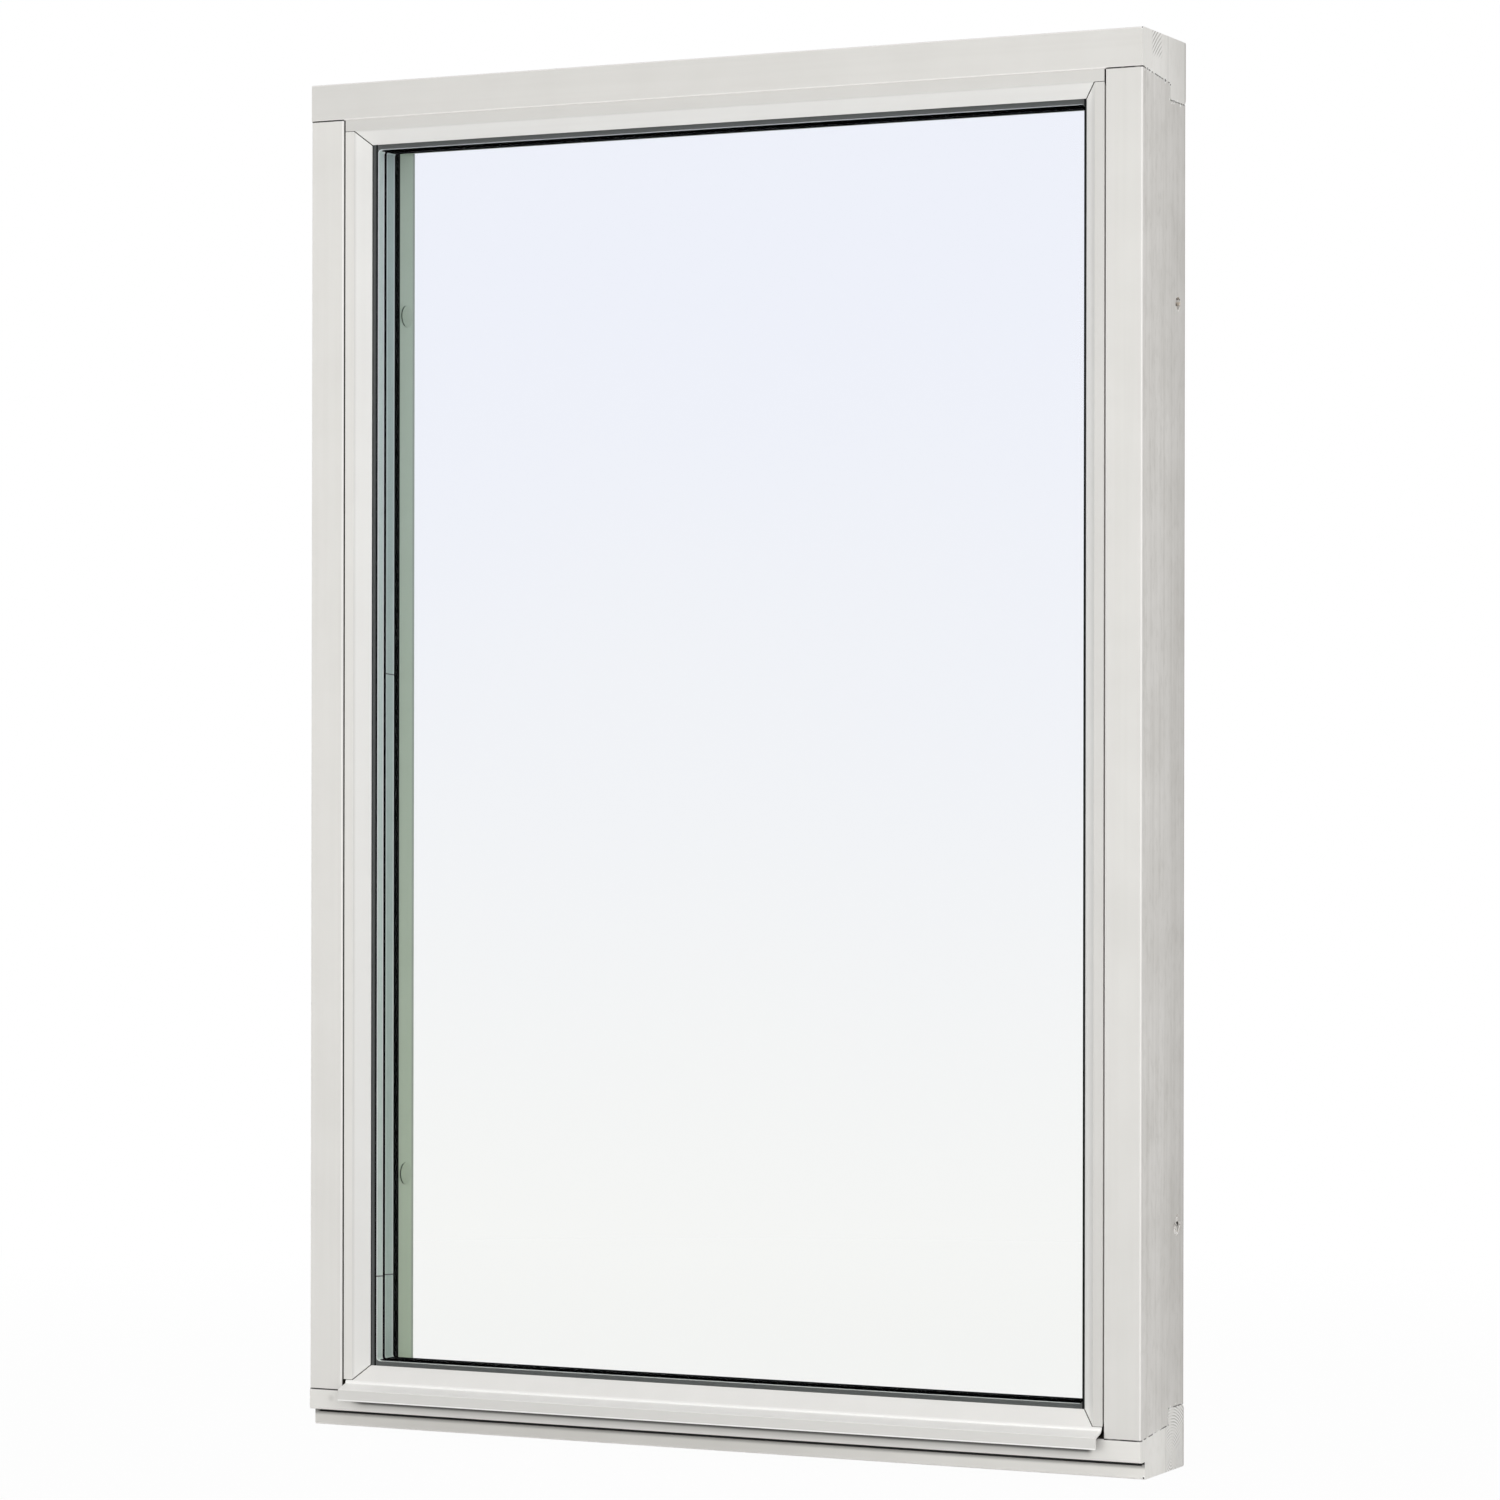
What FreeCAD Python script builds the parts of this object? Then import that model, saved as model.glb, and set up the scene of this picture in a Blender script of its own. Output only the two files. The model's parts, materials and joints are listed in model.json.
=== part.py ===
import FreeCAD, Part
import math
import os

# Fixed timber window, triple glazed, seen from outside along +Y.
# All sizes are in millimetres. X runs along the width, -Y is the weather side, Z is up.
# The origin is under the middle of the overall box, on the surface that the sill stands on.
# "Depth" is measured inwards from the frame's front face, and "inset" is measured
# from the frame's outer edge towards the glass, on any of the four sides.

Vector = FreeCAD.Vector

# Frame: one profile on all four sides
FRAME_WIDTH = 980.0
FRAME_HEIGHT = 1480.0
FRAME_DEPTH = 125.0
FACE_WIDTH = 40.5
REBATE_DEPTH = 80.0
REBATE_FALL = 7.5
LIP_INSET = 65.0
OUTER_ARRIS = 2.0
FACE_ARRIS = 2.5
LIP_FRONT_ARRIS = 4.0
LIP_BACK_ARRIS = 6.0

# Sill: rebate and groove in its front foot that take a sheet metal flashing
FLASHING_SETBACK = 12.0
FLASHING_HEIGHT = 18.0
GROOVE_HEIGHT = 4.0
GROOVE_DEPTH = 8.0
GROOVE_STOP = 3.0

# Timber glazing beads on the head and jambs
BEAD_SETBACK = 1.5
BEAD_INSET = 42.3
BEAD_FLAT_END = 52.8
BEAD_EDGE = 1.0
HEAD_BEAD_END_GAP = 0.2
SIDE_BEAD_TOP_GAP = 0.8
SIDE_BEAD_FOOT_GAP = 0.7
SIGHT_LINE = 68.3

# Extruded metal bead on the sill
SILL_BEAD_WALL = 1.8
SILL_BEAD_RIDGE_INSET = 50.6
SILL_BEAD_STEP = 2.0
SILL_NOSE_REACH = 16.5
SILL_NOSE_TOP = 43.4
SILL_NOSE_BOTTOM = 31.3
SILL_BEAD_FOOT = 11.0
SILL_BEAD_EDGE = 0.8
SILL_BEAD_LEFT_GAP = 3.3
SILL_BEAD_RIGHT_GAP = 0.8

# Sealed glass unit
PANE_THICKNESS = 4.0
OUTER_GAP = 16.0
INNER_GAP = 20.0
GLASS_INSET = 56.0
TAPE_THICKNESS = 1.2
TAPE_WIDTH = 9.5
GLASS_DEPTH = 18.4
SPACER_SIGHT_LINE = 72.0
SPACER_HEIGHT = 8.0
SPACER_BEND = 4.0
BUTYL_THICKNESS = 0.8

# Strip between the inner pane and the frame's lip
GASKET_STAND = 4.4
GASKET_RISE = 3.2
GASKET_HEIGHT = 11.4
GASKET_ARRIS = 0.8

# Blocks that carry the glass unit on the sill
BLOCK_LENGTH = 100.0
BLOCK_SHIFT = 240.0

# Fixing holes through the jambs, and the caps that close them on the room side
FIXING_RADIUS = 7.25
FIXING_FROM_NEAR_END = 249.0
FIXING_FROM_FAR_END = 273.5
CAP_RADIUS = 12.0
CAP_CLEARANCE = 0.2
CAP_SEAT = 2.5
CAP_STAND = 2.0
CAP_DOME = 0.8

# Places that follow from the sizes above
OVERALL_DEPTH = FRAME_DEPTH + SILL_NOSE_REACH
FRONT_Y = SILL_NOSE_REACH - OVERALL_DEPTH / 2
UNIT_THICKNESS = 3 * PANE_THICKNESS + OUTER_GAP + INNER_GAP
UNIT_BACK_DEPTH = GLASS_DEPTH + UNIT_THICKNESS
BEAD_BACK_DEPTH = GLASS_DEPTH - TAPE_THICKNESS
FIXING_DEPTH = (REBATE_DEPTH + FRAME_DEPTH) / 2
SCRIBE_START = FACE_WIDTH / 2
SIDE_LENGTH = {
    "head": FRAME_WIDTH,
    "sill": FRAME_WIDTH,
    "left": FRAME_HEIGHT,
    "right": FRAME_HEIGHT,
}


def rebate_floor(depth):
    """Inset of the sloping floor of the glazing rebate at a depth."""
    return FACE_WIDTH + REBATE_FALL * depth / REBATE_DEPTH


def at(side, depth, inset, along):
    """Point on one side of the frame: along runs from the left end or from the foot."""
    y = FRONT_Y + depth
    if side == "head":
        return Vector(along - FRAME_WIDTH / 2, y, FRAME_HEIGHT - inset)
    if side == "sill":
        return Vector(along - FRAME_WIDTH / 2, y, inset)
    if side == "left":
        return Vector(inset - FRAME_WIDTH / 2, y, along)
    return Vector(FRAME_WIDTH / 2 - inset, y, along)


def corner_arc(before, corner, after, radius):
    """Start, middle and end of the arc that rounds a corner of an outline."""
    to_before = (before - corner).normalize()
    to_after = (after - corner).normalize()
    half_angle = to_before.getAngle(to_after) / 2
    reach = radius / math.tan(half_angle)
    bisector = (to_before + to_after).normalize()
    to_middle = radius / math.sin(half_angle) - radius
    return corner + to_before * reach, corner + bisector * to_middle, corner + to_after * reach


def outline_wire(points, radii):
    """Closed wire through points, with an arc at each corner whose radius is not zero."""
    befores = points[-1:] + points[:-1]
    afters = points[1:] + points[:1]
    arcs = [corner_arc(*corner) for corner in zip(befores, points, afters, radii)]
    edges = []
    for radius, arc, next_arc in zip(radii, arcs, arcs[1:] + arcs[:1]):
        if radius > 0:
            edges.append(Part.Arc(*arc).toShape())
        edges.append(Part.makeLine(arc[-1], next_arc[0]))
    return Part.Wire(edges)


def bar(side, outline, start, end):
    """Straight piece along one side, from an outline of (depth, inset, corner radius)."""
    points = [at(side, depth, inset, start) for depth, inset, radius in outline]
    radii = [radius for depth, inset, radius in outline]
    face = Part.Face(outline_wire(points, radii))
    return face.extrude(at(side, 0, 0, end) - at(side, 0, 0, start))


def ring_wire(depth, inset, radius):
    """Rectangle round the glass with bent corners."""
    corners = [
        at("sill", depth, inset, inset),
        at("sill", depth, inset, FRAME_WIDTH - inset),
        at("head", depth, inset, FRAME_WIDTH - inset),
        at("head", depth, inset, inset),
    ]
    return outline_wire(corners, [radius] * len(corners))


def ring(depth, thickness, outer_inset, inner_inset, outer_radius, inner_radius):
    """Frame of constant section that runs round the glass."""
    outer = ring_wire(depth, outer_inset, outer_radius)
    inner = ring_wire(depth, inner_inset, inner_radius)
    face = Part.Face([outer, inner])
    return face.extrude(Vector(0, thickness, 0))


def frame_outline():
    """Section of head and jambs: front face, sloping rebate floor, and lip on the room side."""
    return [
        (0, 0, OUTER_ARRIS),
        (0, FACE_WIDTH, FACE_ARRIS),
        (REBATE_DEPTH, rebate_floor(REBATE_DEPTH), 0),
        (REBATE_DEPTH, LIP_INSET, LIP_FRONT_ARRIS),
        (FRAME_DEPTH, LIP_INSET, LIP_BACK_ARRIS),
        (FRAME_DEPTH, 0, OUTER_ARRIS),
    ]


def sill():
    """Frame section with the flashing's rebate in its front foot, and a groove that stops short of both ends."""
    outline = frame_outline()
    outline[0] = (0, FLASHING_HEIGHT, OUTER_ARRIS)
    outline += [
        (FLASHING_SETBACK, 0, OUTER_ARRIS),
        (FLASHING_SETBACK, FLASHING_HEIGHT, 0),
    ]
    groove_corner = at("sill", FLASHING_SETBACK, FLASHING_HEIGHT - GROOVE_HEIGHT, GROOVE_STOP)
    groove = Part.makeBox(FRAME_WIDTH - 2 * GROOVE_STOP, GROOVE_DEPTH, GROOVE_HEIGHT, groove_corner)
    return bar("sill", outline, 0, FRAME_WIDTH).cut(groove)


def sharp(outline):
    """The same outline without its rounded corners."""
    return [(depth, inset, 0) for depth, inset, radius in outline]


def scribing_block(side):
    """Sharp-edged head or sill section that the jamb ends are scribed to."""
    return bar(side, sharp(frame_outline()), 0, SIDE_LENGTH[side])


def fixing_heights(side):
    """Heights of the two fixing holes: the right jamb is the left one turned end for end."""
    if side == "left":
        return {"upper": FRAME_HEIGHT - FIXING_FROM_NEAR_END, "lower": FIXING_FROM_FAR_END}
    return {"upper": FRAME_HEIGHT - FIXING_FROM_FAR_END, "lower": FIXING_FROM_NEAR_END}


def inwards(side):
    """Direction from the outer edge of one side towards the glass."""
    return at(side, 0, 1, 0) - at(side, 0, 0, 0)


def jamb(side):
    """Upright between head and sill, scribed over both, with its fixing holes."""
    shape = bar(side, frame_outline(), SCRIBE_START, FRAME_HEIGHT - SCRIBE_START)
    shape = shape.cut(scribing_block("head")).cut(scribing_block("sill"))
    for height in fixing_heights(side).values():
        mouth = at(side, FIXING_DEPTH, 0, height)
        hole = Part.makeCylinder(FIXING_RADIUS, LIP_INSET, mouth, inwards(side))
        seat_centre = at(side, FIXING_DEPTH, LIP_INSET - CAP_SEAT, height)
        seat = Part.makeCylinder(CAP_RADIUS + CAP_CLEARANCE, CAP_SEAT, seat_centre, inwards(side))
        shape = shape.cut(hole).cut(seat)
    return shape


def fixing_cap(side, height):
    """Domed disc that stands out of its seat on the room side of a fixing hole."""
    seat_centre = at(side, FIXING_DEPTH, LIP_INSET - CAP_SEAT, height)
    disc = Part.makeCylinder(CAP_RADIUS, CAP_SEAT + CAP_STAND, seat_centre, inwards(side))
    dome_radius = (CAP_RADIUS**2 + CAP_DOME**2) / (2 * CAP_DOME)
    dome_centre = at(side, FIXING_DEPTH, LIP_INSET + CAP_STAND - dome_radius, height)
    return disc.common(Part.makeSphere(dome_radius, dome_centre, inwards(side)))


def bead_outline(front_inset, back_inset):
    """Section of a timber bead: flat face, bevel to the glass, and a square back."""
    return [
        (BEAD_SETBACK, front_inset, 0),
        (BEAD_SETBACK, BEAD_FLAT_END, BEAD_EDGE),
        (BEAD_BACK_DEPTH, SIGHT_LINE, BEAD_EDGE / 2),
        (BEAD_BACK_DEPTH, back_inset, 0),
    ]


def head_bead():
    """Bead under the head, cut to the slope of the rebate floor, from jamb to jamb."""
    outline = bead_outline(rebate_floor(BEAD_SETBACK), rebate_floor(BEAD_BACK_DEPTH))
    end = rebate_floor(BEAD_BACK_DEPTH) + HEAD_BEAD_END_GAP
    return bar("head", outline, end, FRAME_WIDTH - end)


def sill_bead_top():
    """Weather side of the metal bead, from the glass to the foot of its nose."""
    return [
        (BEAD_BACK_DEPTH, SIGHT_LINE, SILL_BEAD_EDGE / 2),
        (0, SILL_BEAD_RIDGE_INSET, SILL_BEAD_EDGE),
        (0, SILL_BEAD_RIDGE_INSET - SILL_BEAD_STEP, 0),
        (-SILL_NOSE_REACH, SILL_NOSE_TOP, SILL_BEAD_EDGE),
        (-SILL_NOSE_REACH, SILL_NOSE_BOTTOM, 0),
    ]


def sill_bead():
    """Thin extrusion: bevel, stepped flap with a drip nose, and a leg with a foot on the sill."""
    wall = SILL_BEAD_WALL
    bevel_rise = (SIGHT_LINE - SILL_BEAD_RIDGE_INSET) / BEAD_BACK_DEPTH
    bevel_drop = wall * math.hypot(1, bevel_rise)
    flap_rise = (SILL_BEAD_RIDGE_INSET - SILL_BEAD_STEP - SILL_NOSE_TOP) / SILL_NOSE_REACH
    flap_drop = wall * math.hypot(1, flap_rise)
    leg_front = BEAD_BACK_DEPTH - wall
    foot_front = BEAD_BACK_DEPTH - SILL_BEAD_FOOT
    nose_back = wall - SILL_NOSE_REACH

    def under_bevel(depth):
        return SILL_BEAD_RIDGE_INSET + bevel_rise * depth - bevel_drop

    def under_flap(depth):
        return SILL_BEAD_RIDGE_INSET - SILL_BEAD_STEP + flap_rise * depth - flap_drop

    bend = (under_bevel(0) - under_flap(0)) / (flap_rise - bevel_rise)
    outline = sill_bead_top() + [
        (nose_back, SILL_NOSE_BOTTOM, 0),
        (nose_back, under_flap(nose_back), 0),
        (bend, under_flap(bend), 0),
        (leg_front, under_bevel(leg_front), 0),
        (leg_front, rebate_floor(leg_front) + wall, 0),
        (foot_front, rebate_floor(foot_front) + wall, 0),
        (foot_front, rebate_floor(foot_front), 0),
        (BEAD_BACK_DEPTH, rebate_floor(BEAD_BACK_DEPTH), 0),
    ]
    jamb_inset = rebate_floor(BEAD_BACK_DEPTH)
    left_end = jamb_inset + SILL_BEAD_LEFT_GAP
    right_end = FRAME_WIDTH - jamb_inset - SILL_BEAD_RIGHT_GAP
    return bar("sill", outline, left_end, right_end)


def side_bead(side):
    """Bead on a jamb, its ends scribed to the head bead and to the metal bead with a fine open joint."""
    shape = bar(side, bead_outline(BEAD_INSET, BEAD_INSET), SCRIBE_START, FRAME_HEIGHT - SCRIBE_START)
    head_block = sharp(bead_outline(0, 0))
    sill_block = sharp(sill_bead_top())[:-1] + [(-SILL_NOSE_REACH, 0, 0), (BEAD_BACK_DEPTH, 0, 0)]
    for end, block, gap in (("head", head_block, SIDE_BEAD_TOP_GAP), ("sill", sill_block, SIDE_BEAD_FOOT_GAP)):
        shape = shape.cut(bar(end, block, 0, FRAME_WIDTH).translated(inwards(end) * gap))
    return shape


def pane(depth):
    """One sheet of the glass unit."""
    width = FRAME_WIDTH - 2 * GLASS_INSET
    height = FRAME_HEIGHT - 2 * GLASS_INSET
    return Part.makeBox(width, PANE_THICKNESS, height, at("sill", depth, GLASS_INSET, GLASS_INSET))


def spacer(gap_depth, gap):
    """Bent bar that keeps two panes apart."""
    back_inset = SPACER_SIGHT_LINE - SPACER_HEIGHT
    width = gap - 2 * BUTYL_THICKNESS
    depth = gap_depth + BUTYL_THICKNESS
    return ring(depth, width, back_inset, SPACER_SIGHT_LINE, SPACER_BEND + SPACER_HEIGHT, SPACER_BEND)


def edge_seal(gap_depth, gap):
    """Sealant behind a spacer, with the thin strips that bond it to both panes."""
    block = ring(gap_depth, gap, GLASS_INSET, SPACER_SIGHT_LINE, 0, SPACER_BEND)
    return block.cut(spacer(gap_depth, gap))


def tape(side):
    """Thin strip between a bead and the outer pane; head and sill strips run past the others."""
    inner_inset = SIGHT_LINE - BEAD_EDGE
    outer_inset = inner_inset - TAPE_WIDTH
    outline = [
        (BEAD_BACK_DEPTH, outer_inset, 0),
        (BEAD_BACK_DEPTH, inner_inset, 0),
        (GLASS_DEPTH, inner_inset, 0),
        (GLASS_DEPTH, outer_inset, 0),
    ]
    end = outer_inset if side in ("head", "sill") else inner_inset
    return bar(side, outline, end, SIDE_LENGTH[side] - end)


def gasket_outline():
    """Section of the strip behind the glass: its top slopes from the pane down to the lip."""
    lip_top = LIP_INSET + GASKET_STAND
    foot = lip_top - GASKET_HEIGHT
    return [
        (UNIT_BACK_DEPTH, foot, 0),
        (UNIT_BACK_DEPTH, lip_top + GASKET_RISE, GASKET_ARRIS),
        (REBATE_DEPTH, lip_top, GASKET_ARRIS),
        (REBATE_DEPTH, foot, 0),
    ]


def gasket(side):
    """Strip between the inner pane and the lip; the side strips are scribed to the other two."""
    end = LIP_INSET + GASKET_STAND - GASKET_HEIGHT
    shape = bar(side, gasket_outline(), end, SIDE_LENGTH[side] - end)
    if side in ("left", "right"):
        for crossing in ("head", "sill"):
            shape = shape.cut(bar(crossing, sharp(gasket_outline()), 0, FRAME_WIDTH))
    return shape


def setting_block(shift):
    """Wedge on the sloping rebate floor that the three panes stand on."""
    outline = [
        (GLASS_DEPTH, rebate_floor(GLASS_DEPTH), 0),
        (GLASS_DEPTH, GLASS_INSET, 0),
        (UNIT_BACK_DEPTH, GLASS_INSET, 0),
        (UNIT_BACK_DEPTH, rebate_floor(UNIT_BACK_DEPTH), 0),
    ]
    middle = FRAME_WIDTH / 2 + shift
    return bar("sill", outline, middle - BLOCK_LENGTH / 2, middle + BLOCK_LENGTH / 2)


def all_pieces():
    """Every node of the window by name."""
    outer_gap_depth = GLASS_DEPTH + PANE_THICKNESS
    middle_depth = outer_gap_depth + OUTER_GAP
    inner_gap_depth = middle_depth + PANE_THICKNESS
    inner_depth = inner_gap_depth + INNER_GAP
    pieces = {
        "head": bar("head", frame_outline(), 0, FRAME_WIDTH),
        "sill": sill(),
        "head_bead": head_bead(),
        "sill_bead": sill_bead(),
        "outer_pane": pane(GLASS_DEPTH),
        "middle_pane": pane(middle_depth),
        "inner_pane": pane(inner_depth),
        "outer_spacer": spacer(outer_gap_depth, OUTER_GAP),
        "inner_spacer": spacer(inner_gap_depth, INNER_GAP),
        "outer_edge_seal": edge_seal(outer_gap_depth, OUTER_GAP),
        "inner_edge_seal": edge_seal(inner_gap_depth, INNER_GAP),
        "left_setting_block": setting_block(-BLOCK_SHIFT),
        "right_setting_block": setting_block(BLOCK_SHIFT),
    }
    for side in ("left", "right"):
        pieces[side + "_jamb"] = jamb(side)
        pieces[side + "_bead"] = side_bead(side)
        for level, height in fixing_heights(side).items():
            pieces[f"{side}_{level}_cap"] = fixing_cap(side, height)
    for side in SIDE_LENGTH:
        pieces[side + "_tape"] = tape(side)
        pieces[side + "_gasket"] = gasket(side)
    return pieces


os.makedirs("parts", exist_ok=True)
for node, shape in all_pieces().items():
    shape.exportStep(f"parts/{node}.step")
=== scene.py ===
import json
import math
from functools import cached_property

import bpy
from mathutils import Matrix, Vector


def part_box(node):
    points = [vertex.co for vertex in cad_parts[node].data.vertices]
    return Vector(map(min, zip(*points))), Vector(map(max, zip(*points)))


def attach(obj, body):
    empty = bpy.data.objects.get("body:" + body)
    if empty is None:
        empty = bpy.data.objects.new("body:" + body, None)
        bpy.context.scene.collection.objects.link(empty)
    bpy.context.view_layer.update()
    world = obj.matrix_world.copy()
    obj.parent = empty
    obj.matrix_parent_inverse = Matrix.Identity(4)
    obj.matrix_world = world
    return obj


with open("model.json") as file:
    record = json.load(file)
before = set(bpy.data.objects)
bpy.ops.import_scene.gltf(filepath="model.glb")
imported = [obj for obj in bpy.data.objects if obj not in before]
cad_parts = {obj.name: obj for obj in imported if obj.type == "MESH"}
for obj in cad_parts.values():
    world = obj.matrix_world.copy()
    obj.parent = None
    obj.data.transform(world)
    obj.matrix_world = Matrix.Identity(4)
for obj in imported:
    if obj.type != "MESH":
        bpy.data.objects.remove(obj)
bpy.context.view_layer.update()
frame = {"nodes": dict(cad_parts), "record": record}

# Fixed timber window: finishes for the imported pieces, torn fibres at two fixing holes, and a white studio.
# Metres, in the part's own frame: X along the width, -Y the weather side, Z up.
# "Depth" is measured inwards from the frame's front face, and "inset" from the frame's outer edge
# towards the glass, as in the part's source.

node_of = frame["nodes"]

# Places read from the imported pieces
JAMB_LOW, JAMB_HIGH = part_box("right_jamb")
HEAD_LOW, HEAD_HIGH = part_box("head")
OUTER_X = JAMB_HIGH.x
FRONT_Y = JAMB_LOW.y
FRAME_DEPTH = JAMB_HIGH.y - FRONT_Y
TOP_Z = HEAD_HIGH.z
FACE_WIDTH = TOP_Z - JAMB_HIGH.z
LIP_INSET = TOP_Z - HEAD_LOW.z
REBATE_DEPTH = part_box("head_gasket")[1].y - FRONT_Y
BEAD_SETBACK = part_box("head_bead")[0].y - FRONT_Y
SILL_BEAD_LOW, SILL_BEAD_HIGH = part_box("sill_bead")
NOSE_FOOT_Z = SILL_BEAD_LOW.z
FIXINGS = {mount["name"]: mount for mount in frame["record"]["mounts"] if mount["kind"] == "bore"}

# Sizes of details on those pieces
REBATE_FALL = 0.0075
FACE_ARRIS = 0.0025
BEAD_FLAT_END = 0.0528
BEVEL_SLOPE = 0.987
MITRE_LINE = 0.0008
SPACER_SIGHT_LINE = 0.0720
SIGHT_LINE = 0.0683
FLASHING_SETBACK = 0.012
FLASHING_HEIGHT = 0.018
GROOVE_HEIGHT = 0.004
GROOVE_DEPTH = 0.008
GLUE_LINE_DEPTH = 0.0725
# How far off a face a point may lie and still count as on it, and the soft edge of a fine line
ON_FACE = 0.0002
FINE_EDGE = 0.0003

# Finishes, as linear colours
PAINT_WHITE = (0.745, 0.733, 0.703, 1)
PAINT_SHADE = (0.68, 0.667, 0.635, 1)
# White of paint flakes and of paint left on torn fibres, also a painted highlight on the metal bead's lines
FLAKE_AND_HIGHLIGHT_WHITE = (0.95, 0.94, 0.92, 1)
# Painted highlight on the frame's rounded front corners
CORNER_HIGHLIGHT_WHITE = (0.86, 0.84, 0.815, 1)
# Lighter coat on the beads' bevels: painted highlight
BEVEL_HIGHLIGHT_WHITE = (0.91, 0.905, 0.88, 1)
BEVEL_SHADE = (0.85, 0.838, 0.815, 1)
THIN_COAT = (0.81, 0.79, 0.76, 1)
THIN_COAT_SHADE = (0.65, 0.63, 0.595, 1)
END_COAT = (0.95, 0.935, 0.90, 1)
END_COAT_SHADE = (0.86, 0.845, 0.805, 1)
# Reveal paint darker and greener than the coat: painted shade, tinted like light through the glass
REVEAL_SHADED_PAINT = (0.50, 0.605, 0.46, 1)
# Painted shade at the reveal's back edge
REVEAL_EDGE_SHADE = (0.36, 0.42, 0.345, 1)
# Dark of growth rings and glue lines, also used for painted shade
RING_AND_SHADE_DARK = (0.27, 0.255, 0.23, 1)
RING_PALE = (0.96, 0.95, 0.93, 1)
# Dark of joint cracks and paint chips, also used for painted shade under the groove and the metal bead's nose
JOINT_AND_SHADE_DARK = (0.040, 0.038, 0.034, 1)
# Near black, used for painted shade in rebates, gaps, cut ends and hollows, and for dark spots in fixing
# holes
BARE_AND_SHADE_DARK = (0.030, 0.026, 0.021, 1)
BARE_PINE = (0.84, 0.76, 0.66, 1)
BARE_PINE_DARK = (0.40, 0.34, 0.28, 1)
TORN_PALE = (0.88, 0.85, 0.81, 1)
TORN_DARK = (0.50, 0.47, 0.43, 1)
POWDER_COAT = (0.90, 0.888, 0.86, 1)
POWDER_COAT_SHADE = (0.85, 0.838, 0.81, 1)
# Lit and shaded copies of the powder coat: painted highlight on the flap, painted shade on the nose
FLAP_HIGHLIGHT_COAT = (0.98, 0.97, 0.945, 1)
NOSE_SHADE_COAT = (0.70, 0.69, 0.663, 1)
# Bluer tint towards the top of the glass: painted reflection
GLASS_REFLECTED_BLUE = (0.949, 0.958, 0.985, 1)
GLASS_LOW = (0.970, 0.973, 0.968, 1)
LOW_REFLECTION = (0.004, 0.004, 0.004, 1)
# Black of sealant and seams, also used for painted shade in the sill's groove and on the spacers' level runs
SEAL_AND_SHADE_BLACK = (0.0012, 0.0014, 0.0014, 1)
SEAL_GREY = (0.0030, 0.0034, 0.0034, 1)
BOND_GREY = (0.38, 0.40, 0.395, 1)
TAPE_GREY = (0.07, 0.072, 0.072, 1)
CAP_SHADE = (0.40, 0.49, 0.36, 1)
# Painted shade on the caps' rim
CAP_RIM_SHADE = (0.05, 0.06, 0.045, 1)
BLOCK_DARK = (0.06, 0.06, 0.065, 1)
BLOCK_SHADE = (0.03, 0.03, 0.033, 1)

# The four sides: frame member, directions towards the glass and the weather, and noise scales that stretch
# the grain
MEMBER = {"head": "head", "sill": "sill", "left": "left_jamb", "right": "right_jamb"}
INWARDS = {"head": (0, 0, -1), "sill": (0, 0, 1), "left": (1, 0, 0), "right": (-1, 0, 0)}
WEATHER_SIDE = (0, -1, 0)
UPRIGHTS = ("left", "right")
GRAIN_ALONG_X = (3.0, 140.0, 140.0)
GRAIN_ALONG_Z = (140.0, 140.0, 3.0)
GRAIN = {"head": GRAIN_ALONG_X, "sill": GRAIN_ALONG_X, "left": GRAIN_ALONG_Z, "right": GRAIN_ALONG_Z}
# Share of the coat's white on each side: frame member and bead's flat, and bead's bevel, whose share is
# painted light that differs with the way each bevel faces the lamps
MEMBER_TONE = {"head": 0.94, "sill": 1.09, "left": 1.03, "right": 0.95}
FLAT_TONE = {"head": 0.88, "left": 1.04, "right": 0.88}
BEVEL_LIGHT_TONE = {"head": 0.97, "left": 0.90, "right": 1.07}

# How far a face is turned to a direction: where a layer for that direction starts, and where it covers fully
MEMBER_TO_GLASS = (0.4, 0.7)
BEVEL_TO_GLASS = (0.3, 0.6)
TO_FRAME = (-0.7, -0.9)
TO_SIDE = (0.85, 0.97)
TO_FRONT = (-0.95, -0.99)
TO_BACK = (0.2, 0.4)
HALF_TURNED = (0.3, 0.5)


def toned(colour, share):
    """Colour made darker or lighter by a share."""
    return tuple(share * channel for channel in colour[:3]) + (1,)


def feed(tree, socket, value):
    """Sets an input to a constant, or links it when the value is another node's output."""
    if isinstance(value, bpy.types.NodeSocket):
        tree.links.new(value, socket)
    else:
        socket.default_value = value


def add(tree, kind, inputs=None, **settings):
    """New shader node with its settings and inputs."""
    made = tree.nodes.new("ShaderNode" + kind)
    for name, value in settings.items():
        setattr(made, name, value)
    for name, value in (inputs or {}).items():
        feed(tree, made.inputs[name], value)
    return made


def calc(tree, operation, *values):
    """Math node on one to three values."""
    made = add(tree, "Math", operation=operation)
    for socket, value in zip(made.inputs, values):
        feed(tree, socket, value)
    return made.outputs["Value"]


def vector_calc(tree, operation, *values):
    """Vector Math node: gives its number for a product, length or distance, and its vector otherwise."""
    made = add(tree, "VectorMath", operation=operation)
    for socket, value in zip(made.inputs, values):
        feed(tree, socket, value)
    return made.outputs["Value" if operation in ("DOT_PRODUCT", "LENGTH", "DISTANCE") else "Vector"]


def split(tree, vector):
    """The X, Y and Z outputs of a vector."""
    return add(tree, "SeparateXYZ", {"Vector": vector}).outputs


def colour_mix(tree, factor, first, second):
    """First colour at factor 0, second at 1."""
    made = add(tree, "Mix", data_type="RGBA")
    sockets = {socket.identifier: socket for socket in made.inputs}
    feed(tree, sockets["Factor_Float"], factor)
    feed(tree, sockets["A_Color"], first)
    feed(tree, sockets["B_Color"], second)
    return next(socket for socket in made.outputs if socket.identifier == "Result_Color")


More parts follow.
